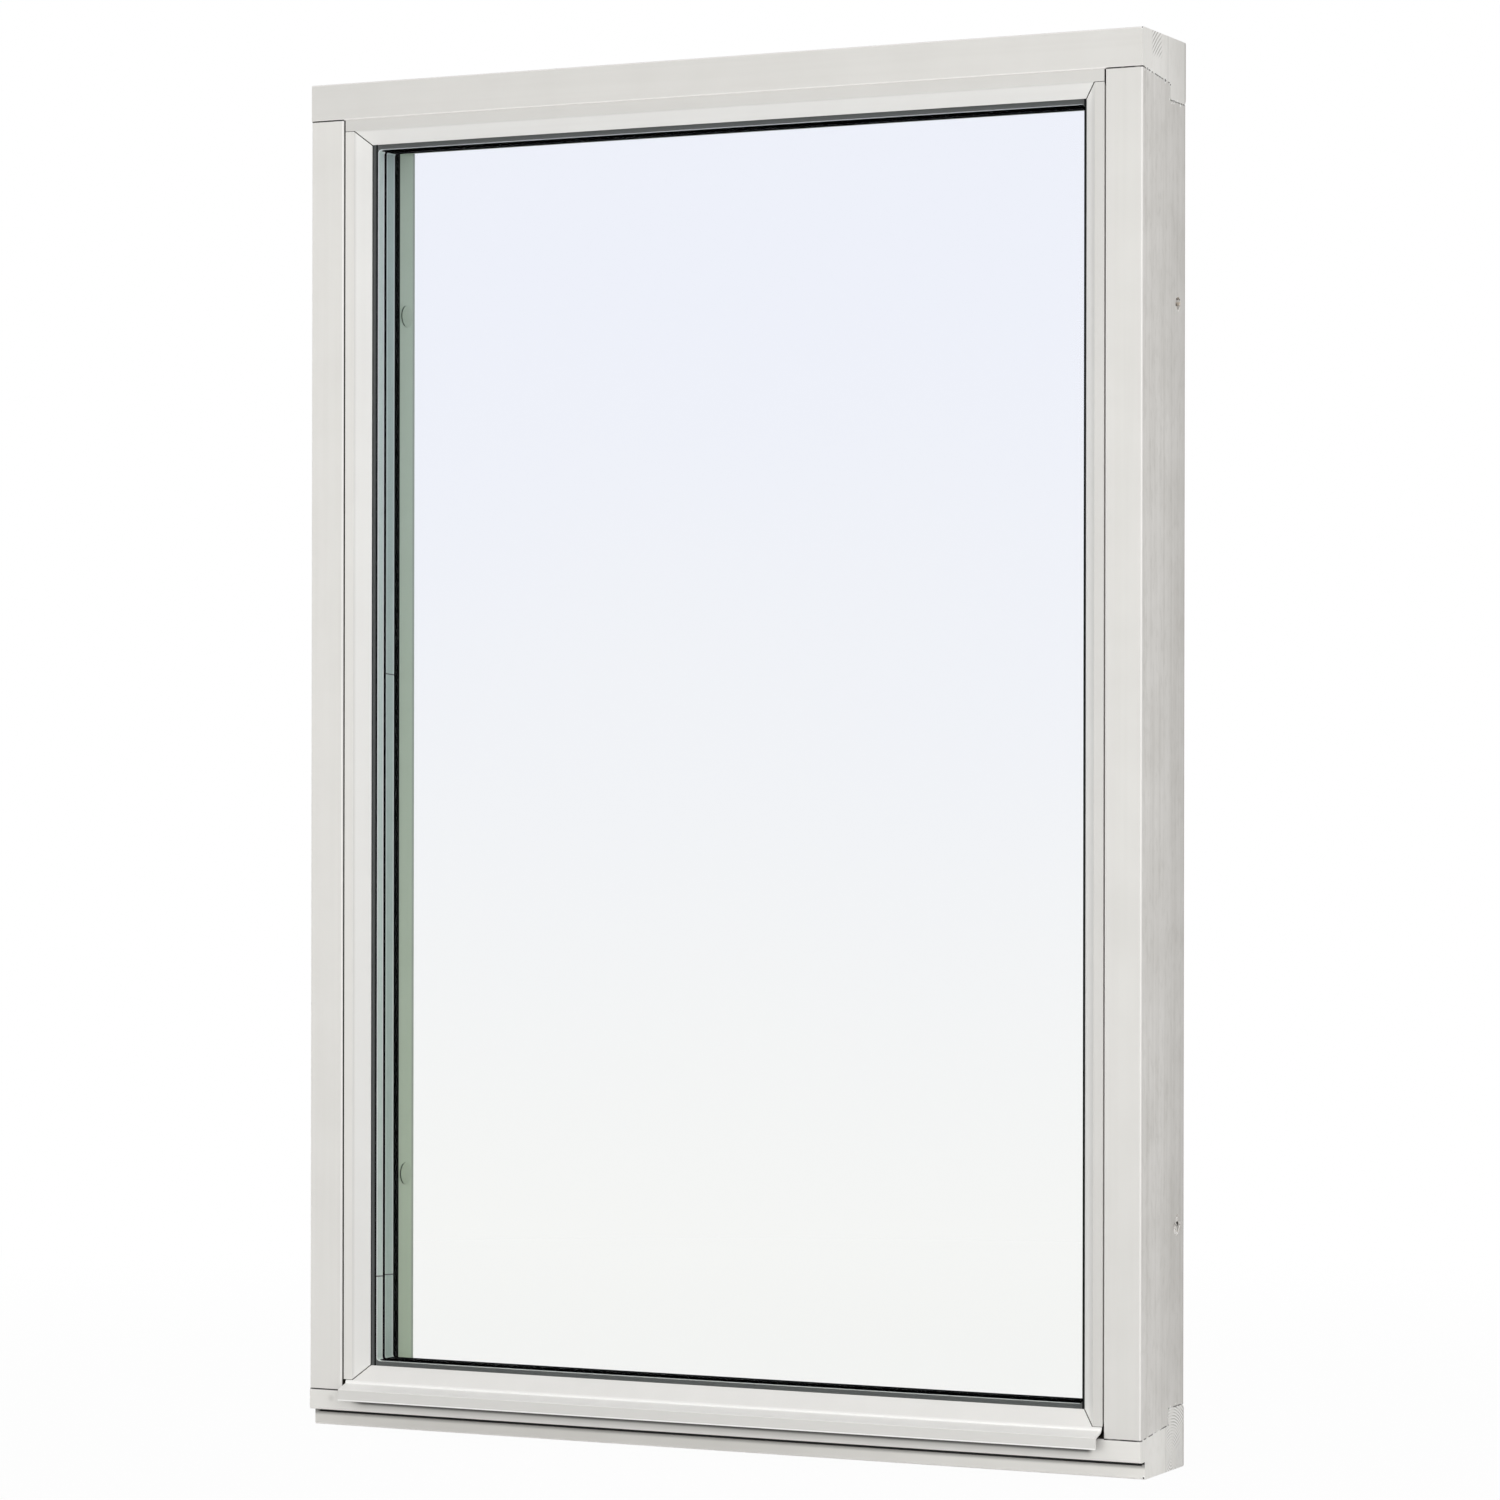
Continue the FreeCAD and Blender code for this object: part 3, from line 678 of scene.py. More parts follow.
def painted_timber(side):
    """Paint on one frame member: full coat in front, a thin one with grain on the outer side faces."""
    coat = Finish(side + "_paint")
    tree = coat.tree
    to_glass = ramp(tree, coat.turned(INWARDS[side]), *MEMBER_TO_GLASS)
    full = coat.brushed(GRAIN[side], toned(PAINT_WHITE, MEMBER_TONE[side]),
                        toned(PAINT_SHADE, MEMBER_TONE[side]), streaks=0.25, mottle=0.35, specks=0.0)
    if side in UPRIGHTS:
        thin = coat.brushed(GRAIN[side], THIN_COAT, THIN_COAT_SHADE, streaks=0.50, mottle=0.40, specks=0.35)
    else:
        thin = coat.brushed(GRAIN[side], END_COAT, END_COAT_SHADE, streaks=0.0, mottle=0.40, specks=0.50)
    across = calc(tree, "ABSOLUTE", coat.normal["X"])
    outer_side = both(tree, ramp(tree, across, *TO_SIDE), calc(tree, "LESS_THAN", coat.inset_x, SIDE_REACH))
    coat.start(full["Colour"], full["Height"])
    coat.lay(outer_side, thin["Colour"])
    # Painted shade that deepens towards the back of the outer side faces, and at their back edge
    for start, share in ((SIDE_SHADE_START, SIDE_SHADE), (BACK_EDGE_START, BACK_EDGE_SHADE)):
        shade = ramp(tree, coat.depth, start, FRAME_DEPTH, 0.0, share)
        coat.lay(both(tree, shade, outer_side), RING_AND_SHADE_DARK)

    sideways = calc(tree, "MAXIMUM", across, calc(tree, "ABSOLUTE", coat.normal["Z"]))
    corner = calc(tree, "MULTIPLY", coat.normal["Y"], sideways)
    # Painted highlight on the rounded front corners and painted shade on the rounded back corners
    coat.lay(ramp(tree, corner, *FRONT_CORNER_HIGHLIGHT), CORNER_HIGHLIGHT_WHITE)
    coat.lay(ramp(tree, corner, *BACK_CORNER, 0.0, BACK_CORNER_SHADE), RING_AND_SHADE_DARK)
    if side in END_GRAIN:
        lay_end_grain(coat, outer_side, **END_GRAIN[side])
    lay_joints(coat, outer_side)

    # Painted shade on the reveal faces, darker at their back edge, and near black in the rebate
    coat.lay(both(tree, to_glass, calc(tree, "GREATER_THAN", coat.depth, REBATE_DEPTH)), REVEAL_SHADED_PAINT)
    coat.lay(both(tree, to_glass, ramp(tree, coat.depth, *REVEAL_EDGE_SHADE_DEPTHS)), REVEAL_EDGE_SHADE)
    shaded_rebate = band(tree, coat.depth, SHADED_REBATE_START[side], REBATE_DEPTH, FINE_EDGE)
    coat.lay(both(tree, to_glass, shaded_rebate), BARE_AND_SHADE_DARK)
    if side == "sill":
        lay_flashing_foot(coat)
    for centre, radius in CHIPS.get(side, ()):
        lay_chip(coat, centre, radius)
    for name, fixing in FIXINGS.items():
        if name.startswith(side):
            lay_fixing_hole(coat, fixing)
    coat.set("Roughness", calc(tree, "MULTIPLY_ADD", outer_side, SIDE_ROUGHER, full["Roughness"]))
    return coat.close(bump_depth=0.00006)


def mitre_shadow(coat):
    """1 on the part of a head or sill bead that a side bead covers, and on a fine line beside it."""
    tree = coat.tree
    behind_flat = calc(tree, "SUBTRACT", coat.depth, BEAD_SETBACK)
    cover = calc(tree, "MULTIPLY_ADD", behind_flat, BEVEL_SLOPE, BEAD_FLAT_END + MITRE_LINE)
    return both(tree, calc(tree, "LESS_THAN", coat.inset_x, cover),
                calc(tree, "GREATER_THAN", behind_flat, ON_FACE))


# Glazing beads: painted shade below the ridge and how far down the bevel it reaches, the squared turn across
# the grain under which a face is a cut end, painted dark as shade, the depths behind the flat where painted
# shade darkens the gap beside the frame, and the painted shade line at the ends of the head bead
RIDGE_SHADE = 0.24
RIDGE_SHADE_REACH = {"head": 0.002, "left": 0.003, "right": 0.010}
CUT_END = (0.36, 0.19)
GAP_SHADE = (0.0030, 0.0070)
BEAD_END_SHADE_LINE = (FACE_WIDTH + 0.0008, FACE_WIDTH + 0.0012)
BEAD_END_SHADE_SHARE = 0.9


def bead_paint(side):
    """Paint on a planed glazing bead: a painted highlight on the bevel, and painted shade where it is cut,
    covered or facing the frame.
    """
    coat = Finish(side + "_bead_paint")
    tree = coat.tree
    to_glass = coat.turned(INWARDS[side])
    flat = coat.brushed(GRAIN[side], toned(PAINT_WHITE, FLAT_TONE[side]), toned(PAINT_SHADE, FLAT_TONE[side]),
                        streaks=0.20, mottle=0.25, specks=0.0)
    bevel = coat.brushed(GRAIN[side], toned(BEVEL_HIGHLIGHT_WHITE, BEVEL_LIGHT_TONE[side]),
                         toned(BEVEL_SHADE, BEVEL_LIGHT_TONE[side]), streaks=0.20, mottle=0.25, specks=0.0)
    coat.start(flat["Colour"], flat["Height"])
    # Painted highlight: the bevel takes a lighter copy of the coat
    on_bevel = ramp(tree, to_glass, *BEVEL_TO_GLASS)
    coat.lay(on_bevel, bevel["Colour"])
    behind_flat = calc(tree, "SUBTRACT", coat.depth, BEAD_SETBACK)
    ridge_shade = ramp(tree, behind_flat, 0.0, RIDGE_SHADE_REACH[side], RIDGE_SHADE, 0.0)
    coat.lay(both(tree, ridge_shade, on_bevel), RING_AND_SHADE_DARK)
    across = calc(tree, "POWER", calc(tree, "ABSOLUTE", coat.normal["Y"]), 2.0)
    across = calc(tree, "MULTIPLY_ADD", to_glass, to_glass, across)
    # Painted shade on cut ends, back faces and the gap beside the frame
    coat.lay(ramp(tree, across, *CUT_END), BARE_AND_SHADE_DARK)
    coat.lay(ramp(tree, coat.normal["Y"], *TO_BACK), BARE_AND_SHADE_DARK)
    coat.lay(both(tree, ramp(tree, to_glass, *TO_FRAME), ramp(tree, behind_flat, *GAP_SHADE)), BARE_AND_SHADE_DARK)
    if side not in UPRIGHTS:
        # Painted shade where a side bead covers the bead, and a painted shade line at its ends
        coat.lay(mitre_shadow(coat), BARE_AND_SHADE_DARK)
        coat.lay(ramp(tree, coat.inset_x, *BEAD_END_SHADE_LINE, BEAD_END_SHADE_SHARE, 0.0), BARE_AND_SHADE_DARK)
    coat.set("Roughness", flat["Roughness"])
    return coat.close(bump_depth=0.00004)


# Even finishes: scale, span and share of their broad and fine shading, and how much their roughness varies
BROAD_SCALE = 18.0
SHADING_SPAN = (0.3, 0.7)
SHADING_SHARE = 0.5
ROUGHNESS_SPREAD = 0.06


def speckled(name, colour, shade, roughness, grain, specular=0.5):
    """Even finish with a fine grain, still open for more layers: powder coat, plastic, sealant and rubber."""
    coat = Finish(name, specular=specular)
    tree = coat.tree
    fine = noise(tree, coat.position, grain, 3.0)
    broad = noise(tree, coat.position, BROAD_SCALE, 2.0)
    shading = calc(tree, "ADD", ramp(tree, broad, *SHADING_SPAN, 0.0, SHADING_SHARE),
                   ramp(tree, fine, *SHADING_SPAN, 0.0, SHADING_SHARE))
    coat.start(colour_mix(tree, shading, colour, shade), fine)
    roughness_range = (roughness - ROUGHNESS_SPREAD, roughness + ROUGHNESS_SPREAD)
    coat.set("Roughness", ramp(tree, fine, *ROUGHNESS_NOISE, *roughness_range))
    return coat


# Metal sill bead: turn of its flap, lighter as painted highlight, and of its nose, darker as painted shade,
# the painted highlight lines at the nose's foot and at the step's ridge, and the direction of its hollow
# underside, painted dark as shade
FLAP_UP = (0.82, 0.90)
NOSE_TO_FRONT = (-0.96, -0.995)
NOSE_HIGHLIGHT_LINE = (NOSE_FOOT_Z + 0.0016, NOSE_FOOT_Z + 0.0010)
STEP_HIGHLIGHT_LINE = (-0.0008, 0.0012)
UNDERSIDE = (0, 0.7, -0.7)


def sill_bead_coat():
    """Powder coat on the metal bead, with painted highlights on the flap and lines, and painted shade on
    its nose, hollow underside and covered ends.
    """
    coat = speckled("sill_bead_powder_coat", POWDER_COAT, POWDER_COAT_SHADE, roughness=0.36, grain=1400.0)
    tree = coat.tree
    # Painted highlight on the flap and painted shade on the nose
    coat.lay(ramp(tree, coat.normal["Z"], *FLAP_UP), FLAP_HIGHLIGHT_COAT)
    coat.lay(ramp(tree, coat.normal["Y"], *NOSE_TO_FRONT), NOSE_SHADE_COAT)
    # Painted highlight lines at the nose's foot and at the step's ridge
    coat.lay(ramp(tree, coat.place["Z"], *NOSE_HIGHLIGHT_LINE), FLAKE_AND_HIGHLIGHT_WHITE)
    coat.lay(band(tree, coat.depth, *STEP_HIGHLIGHT_LINE, FINE_EDGE), FLAKE_AND_HIGHLIGHT_WHITE)
    # Painted shade on the hollow underside and where the side beads cover the bead
    coat.lay(ramp(tree, coat.turned(UNDERSIDE), *HALF_TURNED), BARE_AND_SHADE_DARK)
    coat.lay(mitre_shadow(coat), BARE_AND_SHADE_DARK)
    return coat.close(bump_depth=0.00003)


# Insets between which the sealant beside the spacer's uprights turns black, partly as a butyl line and
# partly as painted shade
BOND_BLACK_AND_SHADE = (SIGHT_LINE, SPACER_SIGHT_LINE - 0.0005)


def sealant(name):
    """Black sealant: its bond to the outer pane is grey, and black beside the spacer's uprights, partly as
    painted shade.
    """
    coat = speckled(name, SEAL_AND_SHADE_BLACK, SEAL_GREY, roughness=0.7, grain=500.0, specular=0.0)
    tree = coat.tree
    upright = both(tree, ramp(tree, coat.inset_x, *BOND_BLACK_AND_SHADE),
                   calc(tree, "LESS_THAN", coat.inset_x, SPACER_SIGHT_LINE))
    to_pane = ramp(tree, coat.turned(WEATHER_SIDE), *HALF_TURNED)
    coat.lay(both(tree, to_pane, calc(tree, "SUBTRACT", 1.0, upright)), BOND_GREY)
    return coat.close(bump_depth=0.00008)


def cap_plastic():
    """Caps in the reveal's painted shade, with painted shade on the side of the rim that faces the glass."""
    coat = speckled("cap_plastic", REVEAL_SHADED_PAINT, CAP_SHADE, roughness=0.40, grain=900.0)
    coat.lay(ramp(coat.tree, coat.turned(WEATHER_SIDE), *HALF_TURNED), CAP_RIM_SHADE)
    return coat.close(bump_depth=0.00002)


# Glass: heights between which a painted reflection turns its tint bluer, and how far a faint cloud moves them
GLASS_IOR = 1.52
BLUE_REFLECTION_HEIGHTS = (0.3, 1.5)
REFLECTION_CLOUD_SCALE = 1.6
REFLECTION_CLOUD_RISE = 0.35


def pane_glass(name):
    """Clear coated glass that lets lamp light through, a little bluer towards the top as a painted
    reflection.
    """
    coat = Finish(name, roughness=0.0)
    tree = coat.tree
    cloud = noise(tree, coat.position, REFLECTION_CLOUD_SCALE, 1.0)
    rise = calc(tree, "MULTIPLY_ADD", cloud, REFLECTION_CLOUD_RISE, coat.place["Z"])
    # Painted reflection: the tint turns bluer towards the top
    coat.set("Base Color", colour_mix(tree, ramp(tree, rise, *BLUE_REFLECTION_HEIGHTS), GLASS_LOW, GLASS_REFLECTED_BLUE))
    coat.set("Specular Tint", LOW_REFLECTION)
    coat.set("IOR", GLASS_IOR)
    coat.set("Transmission Weight", 1.0)
    clear = add(tree, "BsdfTransparent").outputs["BSDF"]
    is_shadow = add(tree, "LightPath").outputs["Is Shadow Ray"]
    mix = add(tree, "MixShader", {"Fac": is_shadow})
    tree.links.new(coat.shader.outputs["BSDF"], mix.inputs[1])
    tree.links.new(clear, mix.inputs[2])
    tree.links.new(mix.outputs["Shader"], tree.nodes["Material Output"].inputs["Surface"])
    return coat.material


# Spacer bars: pale edge as a painted highlight, drawn middle from light to dark, the runs under the head
# and over the sill, with painted highlight on the outer bar and painted shade on the inner one, and the
# direction along the depth of the edge that sealant covers
SPACER_TONES = {
    "outer_spacer": {"edge": (0.97, 1.0, 0.99, 1), "light": (0.71, 0.83, 0.765, 1),
                     "dark": (0.58, 0.70, 0.64, 1), "level": (0.95, 0.99, 0.97, 1), "smeared": 1},
    "inner_spacer": {"edge": (0.60, 0.71, 0.65, 1), "light": (0.42, 0.545, 0.48, 1),
                     "dark": (0.345, 0.47, 0.41, 1), "level": (0.02, 0.022, 0.022, 1), "smeared": -1},
}
# Heights of the butt seams on the left upright, their half width from dark to none, and their tilt
SPACER_SEAMS = {"outer_spacer": [0.165], "inner_spacer": [0.165, 0.830]}
SEAM_EDGE = (0.0003, 0.0010)
SEAM_TILT = 0.06
DRAWN_SCALE = (60.0, 1500.0, 60.0)
DRAWN_SPAN = (0.3, 0.7)
DRAWN_ROUGHNESS = (0.40, 0.55)
LEVEL_RUN = (0.6, 0.8)
# Shares of the bar's half width where its painted highlight edge starts, and of its width that stays pale
# on a level run before painted shade covers the rest
PALE_EDGE = (0.62, 0.80)
LEVEL_PALE_SHARE = 0.45
LEVEL_PALE_EDGE = 0.001
SMEAR_WIDTH = 0.0009
SMEAR_SOLID = 0.7
SPACER_COAT_ROUGHNESS = 0.35
SPACER_COAT_IOR = 1.8


def spacer_bar(name, edge, light, dark, level, smeared):
    """Grey bent bar: pale edges as painted highlight, a darker drawn middle, sealant along one edge, butt
    seams, and level runs painted lighter on the outer bar and darker on the inner one, with painted shade
    behind.
    """
    coat = Finish(name + "_finish", specular=0.0)
    tree = coat.tree
    low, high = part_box(name)
    half_width = (high.y - low.y) / 2
    from_middle = calc(tree, "SUBTRACT", coat.place["Y"], (low.y + high.y) / 2)
    off_middle = calc(tree, "ABSOLUTE", from_middle)
    drawn = noise(tree, coat.position, DRAWN_SCALE, 2.0)
    coat.start(colour_mix(tree, ramp(tree, drawn, *DRAWN_SPAN), dark, light), drawn)
    edge_start, edge_full = (share * half_width for share in PALE_EDGE)
    # Painted highlight on the bar's edges
    coat.lay(ramp(tree, off_middle, edge_start, edge_full), edge)
    on_level = ramp(tree, calc(tree, "ABSOLUTE", coat.normal["Z"]), *LEVEL_RUN)
    # Level runs: painted highlight on the outer bar, painted shade on the inner bar
    coat.lay(on_level, level)
    to_smear = calc(tree, "MULTIPLY", from_middle, smeared)
    smear = ramp(tree, to_smear, half_width - SMEAR_WIDTH, half_width - SMEAR_SOLID * SMEAR_WIDTH)
    coat.lay(smear, SEAL_AND_SHADE_BLACK)
    # Painted shade on the back of the level runs
    level_pale_end = (2 * LEVEL_PALE_SHARE - 1) * half_width
    level_shade = ramp(tree, to_smear, level_pale_end - LEVEL_PALE_EDGE, level_pale_end)
    coat.lay(both(tree, level_shade, on_level), SEAL_AND_SHADE_BLACK)
    coat.set("Coat Weight", calc(tree, "SUBTRACT", 1.0, on_level))
    coat.set("Coat Roughness", SPACER_COAT_ROUGHNESS)
    coat.set("Coat IOR", SPACER_COAT_IOR)
    on_left = calc(tree, "LESS_THAN", coat.place["X"], 0.0)
    tilted = calc(tree, "MULTIPLY_ADD", from_middle, SEAM_TILT, coat.place["Z"])
    for seam_z in SPACER_SEAMS[name]:
        seam = ramp(tree, away_from(tree, tilted, seam_z), *SEAM_EDGE, 1.0, 0.0)
        coat.lay(both(tree, seam, on_left), SEAL_AND_SHADE_BLACK, rise=-2.0)
    coat.set("Roughness", ramp(tree, drawn, *ROUGHNESS_NOISE, *DRAWN_ROUGHNESS))
    return coat.close(bump_depth=0.00005)


# Torn timber: fibres drawn along Z, and the paint that is left on them
TORN_FIBRE_SCALE = (900.0, 900.0, 120.0)
TORN_FIBRE_SPAN = (0.40, 0.70)
TORN_PAINT_SCALE = 420.0
TORN_PAINT_SPAN = (0.50, 0.58)


def torn_timber(name):
    """Torn fibres with the paint still on most of them."""
    coat = Finish(name, roughness=0.7, specular=0.2)
    tree = coat.tree
    fibre = noise(tree, coat.position, TORN_FIBRE_SCALE, 3.0)
    coat.start(colour_mix(tree, ramp(tree, fibre, *TORN_FIBRE_SPAN), TORN_PALE, TORN_DARK), fibre)
    coat.lay(ramp(tree, noise(tree, coat.position, TORN_PAINT_SCALE, 2.0), *TORN_PAINT_SPAN), FLAKE_AND_HIGHLIGHT_WHITE)
    return coat.close(bump_depth=0.0001)


def dress(material, *names):
    """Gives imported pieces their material."""
    for name in names:
        mesh = node_of[name].data
        mesh.materials.clear()
        mesh.materials.append(material)


for side, member in MEMBER.items():
    dress(painted_timber(side), member)
for side in ("head",) + UPRIGHTS:
    dress(bead_paint(side), side + "_bead")
dress(sill_bead_coat(), "sill_bead")
dress(pane_glass("coated_glass"), "outer_pane", "middle_pane", "inner_pane")
for spacer_name, tones in SPACER_TONES.items():
    dress(spacer_bar(spacer_name, **tones), spacer_name)
dress(sealant("edge_sealant"), "outer_edge_seal")
inner_sealant = speckled("inner_sealant", SEAL_AND_SHADE_BLACK, SEAL_GREY, roughness=0.7, grain=500.0, specular=0.0)
dress(inner_sealant.close(bump_depth=0.00008), "inner_edge_seal")
glazing_tape = speckled("glazing_tape", TAPE_GREY, SEAL_GREY, roughness=0.8, grain=1200.0, specular=0.0)
dress(glazing_tape.close(bump_depth=0.0001), *[side + "_tape" for side in MEMBER])
lip_gasket = speckled("lip_gasket", SEAL_AND_SHADE_BLACK, SEAL_GREY, roughness=0.7, grain=700.0, specular=0.0)
dress(lip_gasket.close(bump_depth=0.00004), *[side + "_gasket" for side in MEMBER])
dress(cap_plastic(), *[f"{side}_{level}_cap" for side in UPRIGHTS for level in ("upper", "lower")])
block_plastic = speckled("setting_block_plastic", BLOCK_DARK, BLOCK_SHADE, roughness=0.5, grain=600.0)
dress(block_plastic.close(bump_depth=0.00004), *[side + "_setting_block" for side in UPRIGHTS])

# Torn fibres: stations along each and facets round it, how much it narrows to its tip, the turns in radians
# and the sizes between which chance picks, and how deep its root sits in the face
FIBRE_STATIONS = 7
FIBRE_FACETS = 5
FIBRE_NARROWING = -0.85
FIBRE_TURNS = ((-0.10, -0.60, -0.25), (0.25, 0.60, 0.25))
FIBRE_SIZES = (0.65, 1.0)
FIBRE_ROOT = 0.0004


def torn_fibres_tree():
    """Geometry nodes: tapered fibres that curl out of an arc of a hole's rim, on a face looking along X."""
    tree = bpy.data.node_groups.new("torn_fibres", "GeometryNodeTree")
    for name, kind in (("Rim Centre", "Vector"), ("Rim Radius", "Float"), ("Arc Start", "Float"),
                       ("Arc Sweep", "Float"), ("Fibres", "Int"), ("Length", "Float"), ("Thickness", "Float"),
                       ("Lift", "Float"), ("Seed", "Int"), ("Timber", "Material")):
        tree.interface.new_socket(name, in_out="INPUT", socket_type="NodeSocket" + kind)
    tree.interface.new_socket("Geometry", in_out="OUTPUT", socket_type="NodeSocketGeometry")
    given = tree.nodes.new("NodeGroupInput").outputs

    def place(kind, inputs):
        made = tree.nodes.new(kind)
        for socket, value in inputs.items():
            feed(tree, made.inputs[socket], value)
        return made

    rim = place("GeometryNodeCurveArc", {
        "Resolution": given["Fibres"],
        "Radius": given["Rim Radius"],
        "Start Angle": given["Arc Start"],
        "Sweep Angle": given["Arc Sweep"],
    })
    tip = place("ShaderNodeCombineXYZ", {"Y": given["Length"]})
    line = place("GeometryNodeCurvePrimitiveLine", {"End": tip.outputs["Vector"]})
    fine_line = place("GeometryNodeResampleCurve", {"Curve": line.outputs["Curve"], "Count": FIBRE_STATIONS})
    share = tree.nodes.new("GeometryNodeSplineParameter").outputs["Factor"]
    lift = calc(tree, "MULTIPLY", calc(tree, "POWER", share, 2.0), given["Lift"])
    curl = place("ShaderNodeCombineXYZ", {"Z": lift})
    curled = place("GeometryNodeSetPosition", {"Geometry": fine_line.outputs["Curve"],
                                               "Offset": curl.outputs["Vector"]})
    section = place("GeometryNodeCurvePrimitiveCircle", {"Resolution": FIBRE_FACETS,
                                                         "Radius": given["Thickness"]})
    taper = calc(tree, "MULTIPLY_ADD", share, FIBRE_NARROWING, 1.0)
    fibre = place("GeometryNodeCurveToMesh", {"Curve": curled.outputs["Geometry"], "Scale": taper,
                                              "Profile Curve": section.outputs["Curve"], "Fill Caps": True})
    turn = tree.nodes.new("FunctionNodeRandomValue")
    turn.data_type = "FLOAT_VECTOR"
    size = tree.nodes.new("FunctionNodeRandomValue")
    for sockets, limits in ((turn.inputs[:2], FIBRE_TURNS), (size.inputs[2:4], FIBRE_SIZES)):
        for socket, limit in zip(sockets, limits):
            feed(tree, socket, limit)
    for chance in (turn, size):
        feed(tree, chance.inputs["Seed"], given["Seed"])
    grown = place("GeometryNodeInstanceOnPoints", {
        "Points": rim.outputs["Curve"],
        "Instance": fibre.outputs["Mesh"],
        "Rotation": turn.outputs["Value"],
        "Scale": size.outputs[1],
    })
    stood = place("GeometryNodeTransform", {
        "Geometry": grown.outputs["Instances"],
        "Translation": given["Rim Centre"],
        "Rotation": (math.pi / 2, 0.0, math.pi / 2),
    })
    plain = place("GeometryNodeRealizeInstances", {"Geometry": stood.outputs["Geometry"]})
    done = place("GeometryNodeSetMaterial", {"Geometry": plain.outputs["Geometry"],
                                             "Material": given["Timber"]})
    end = tree.nodes.new("NodeGroupOutput")
    feed(tree, end.inputs["Geometry"], done.outputs["Geometry"])
    return tree


FIBRES = torn_fibres_tree()
TORN_TIMBER = torn_timber("torn_timber")


def torn_fibres(name, fixing, arc, **inputs):
    """Piece of torn fibres on an arc, in degrees, of a fixing hole's rim on the right jamb's outer face."""
    hole = FIXINGS[fixing]
    _, rim_y, rim_z = hole["pos_m"]
    arc_start, arc_end = arc
    inputs.update(Rim_Centre=(OUTER_X - FIBRE_ROOT, rim_y, rim_z), Rim_Radius=hole_radius(hole),
                  Arc_Start=math.radians(arc_start), Arc_Sweep=math.radians(arc_end - arc_start),
                  Timber=TORN_TIMBER)
    piece = bpy.data.objects.new(name, bpy.data.meshes.new(name))
    bpy.context.scene.collection.objects.link(piece)
    growth = piece.modifiers.new("growth", "NODES")
    growth.node_group = FIBRES
    for item in FIBRES.interface.items_tree:
        if item.in_out == "INPUT":
            growth[item.identifier] = inputs[item.name.replace(" ", "_")]
    piece.update_tag()
    bpy.context.view_layer.update()
    grown = piece.evaluated_get(bpy.context.evaluated_depsgraph_get())
    piece.data = bpy.data.meshes.new_from_object(grown)
    piece.modifiers.remove(growth)
    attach(piece, "root")


torn_fibres("torn_fibres_in_lower_hole", "right_lower_fixing", (190, 350), Fibres=34, Length=0.0128,
            Thickness=0.0009, Lift=0.0012, Seed=4)
torn_fibres("lifted_splinter_over_lower_hole", "right_lower_fixing", (84, 96), Fibres=3, Length=0.0090,
            Thickness=0.0009, Lift=0.0012, Seed=9)
torn_fibres("chips_in_upper_hole", "right_upper_fixing", (215, 325), Fibres=9, Length=0.0050,
            Thickness=0.0006, Lift=0.0003, Seed=2)

# Studio: white floor and surroundings, a soft key from the front right and a low fill from the front
FLOOR_REACH = 30.0
FLOOR_WHITE = (0.86, 0.86, 0.855, 1)
SHADOW_SHARE = 0.035
SHADOW_NEAR, SHADOW_FAR = 0.8, 2.4
PLAIN_WHITE = (1, 1, 1, 1)
WORLD_LIGHT = 0.60
AIM = Vector((0, 0, TOP_Z / 2))
# Name, power in watts, size, distance, azimuth from straight in front to the right, and height
LAMPS = (
    ("soft_key", 50.0, 3.2, 4.6, math.radians(42), 1.7),
    ("low_fill", 73.0, 2.6, 4.2, math.radians(3), 0.3),
)


def seen_ray(tree):
    """1 for rays that show the surroundings: from the camera, in a reflection, or through glass."""
    path = add(tree, "LightPath").outputs
    seen = calc(tree, "MAXIMUM", path["Is Camera Ray"], path["Is Glossy Ray"])
    return calc(tree, "MAXIMUM", seen, path["Is Transmission Ray"])


def white_world():
    """Surroundings that look white and light the window a little less."""
    world = bpy.data.worlds.new("white_surroundings")
    bpy.context.scene.world = world
    world.use_nodes = True
    tree = world.node_tree
    background = tree.nodes["Background"]
    background.inputs["Color"].default_value = PLAIN_WHITE
    lift = calc(tree, "MULTIPLY_ADD", seen_ray(tree), 1.0 - WORLD_LIGHT, WORLD_LIGHT)
    feed(tree, background.inputs["Strength"], lift)


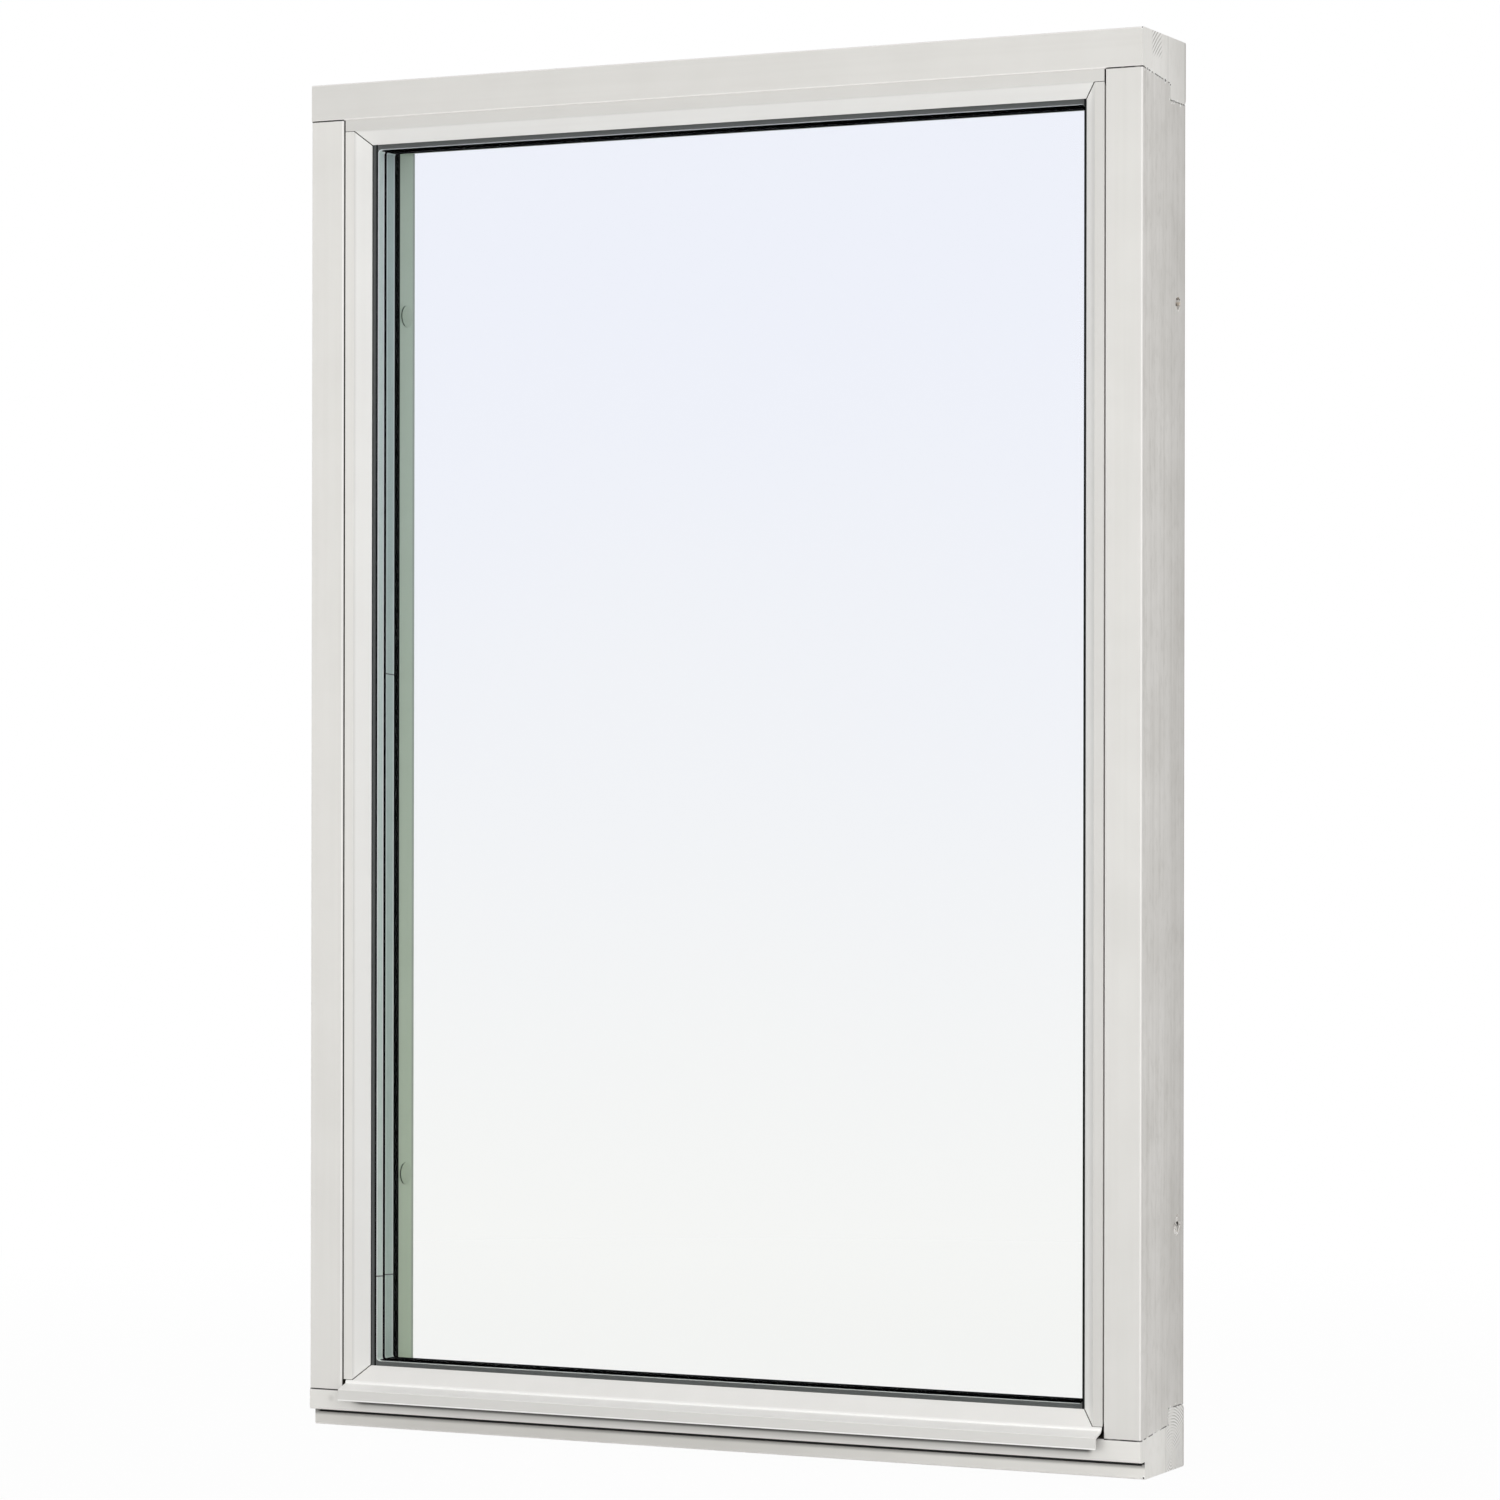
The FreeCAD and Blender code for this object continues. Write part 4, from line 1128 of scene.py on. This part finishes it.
def white_floor():
    """Pale floor that keeps a soft share of the shadow close to the window, and is plain white beyond."""
    mesh = bpy.data.meshes.new("studio_floor")
    corners = [(x * FLOOR_REACH, y * FLOOR_REACH, 0) for x, y in ((-1, -1), (1, -1), (1, 1), (-1, 1))]
    mesh.from_pydata(corners, [], [(0, 1, 2, 3)])
    floor = bpy.data.objects.new("studio_floor", mesh)
    bpy.context.scene.collection.objects.link(floor)
    cover = Finish("studio_floor_white", roughness=0.9, specular=0.0)
    tree = cover.tree
    cover.set("Base Color", FLOOR_WHITE)
    glow = add(tree, "Emission", {"Color": PLAIN_WHITE, "Strength": 1.0})
    from_window = vector_calc(tree, "LENGTH", cover.position)
    plain = ramp(tree, from_window, SHADOW_NEAR, SHADOW_FAR, 1.0 - SHADOW_SHARE, 1.0)
    mix = add(tree, "MixShader", {"Fac": calc(tree, "MULTIPLY", seen_ray(tree), plain)})
    tree.links.new(cover.shader.outputs["BSDF"], mix.inputs[1])
    tree.links.new(glow.outputs["Emission"], mix.inputs[2])
    tree.links.new(mix.outputs["Shader"], tree.nodes["Material Output"].inputs["Surface"])
    mesh.materials.append(cover.material)


def soft_lamp(name, power, size, distance, azimuth, height):
    """Area lamp that looks at the window's middle, and isn't seen through the glass."""
    light = bpy.data.lights.new(name, "AREA")
    light.size = size
    light.energy = power
    lamp = bpy.data.objects.new(name, light)
    bpy.context.scene.collection.objects.link(lamp)
    lamp.location = (distance * math.sin(azimuth), -distance * math.cos(azimuth), height)
    lamp.rotation_euler = (AIM - lamp.location).to_track_quat("-Z", "Y").to_euler()
    lamp.visible_transmission = False


# Camera: level, to the right of the window, with the lens shifted up
CAMERA_PLACE = Vector((2.2373, -4.61885, 0.7037))
CAMERA_YAW = math.radians(25.62)
CAMERA_ROLL = math.radians(0.09)
CAMERA_LENS_MM = 114.98
CAMERA_SHIFT_Y = 0.02586


def photo_camera():
    """Camera at the photograph's viewing angle."""
    lens = bpy.data.cameras.new("photo_camera")
    lens.lens = CAMERA_LENS_MM
    lens.shift_y = CAMERA_SHIFT_Y
    camera = bpy.data.objects.new("photo_camera", lens)
    bpy.context.scene.collection.objects.link(camera)
    upright = Matrix.Rotation(CAMERA_YAW, 4, "Z") @ Matrix.Rotation(math.pi / 2, 4, "X")
    camera.matrix_world = Matrix.Translation(CAMERA_PLACE) @ upright @ Matrix.Rotation(CAMERA_ROLL, 4, "Z")
    bpy.context.scene.camera = camera


white_world()
white_floor()
for lamp_values in LAMPS:
    soft_lamp(*lamp_values)
photo_camera()
bpy.context.scene.view_settings.view_transform = "Standard"
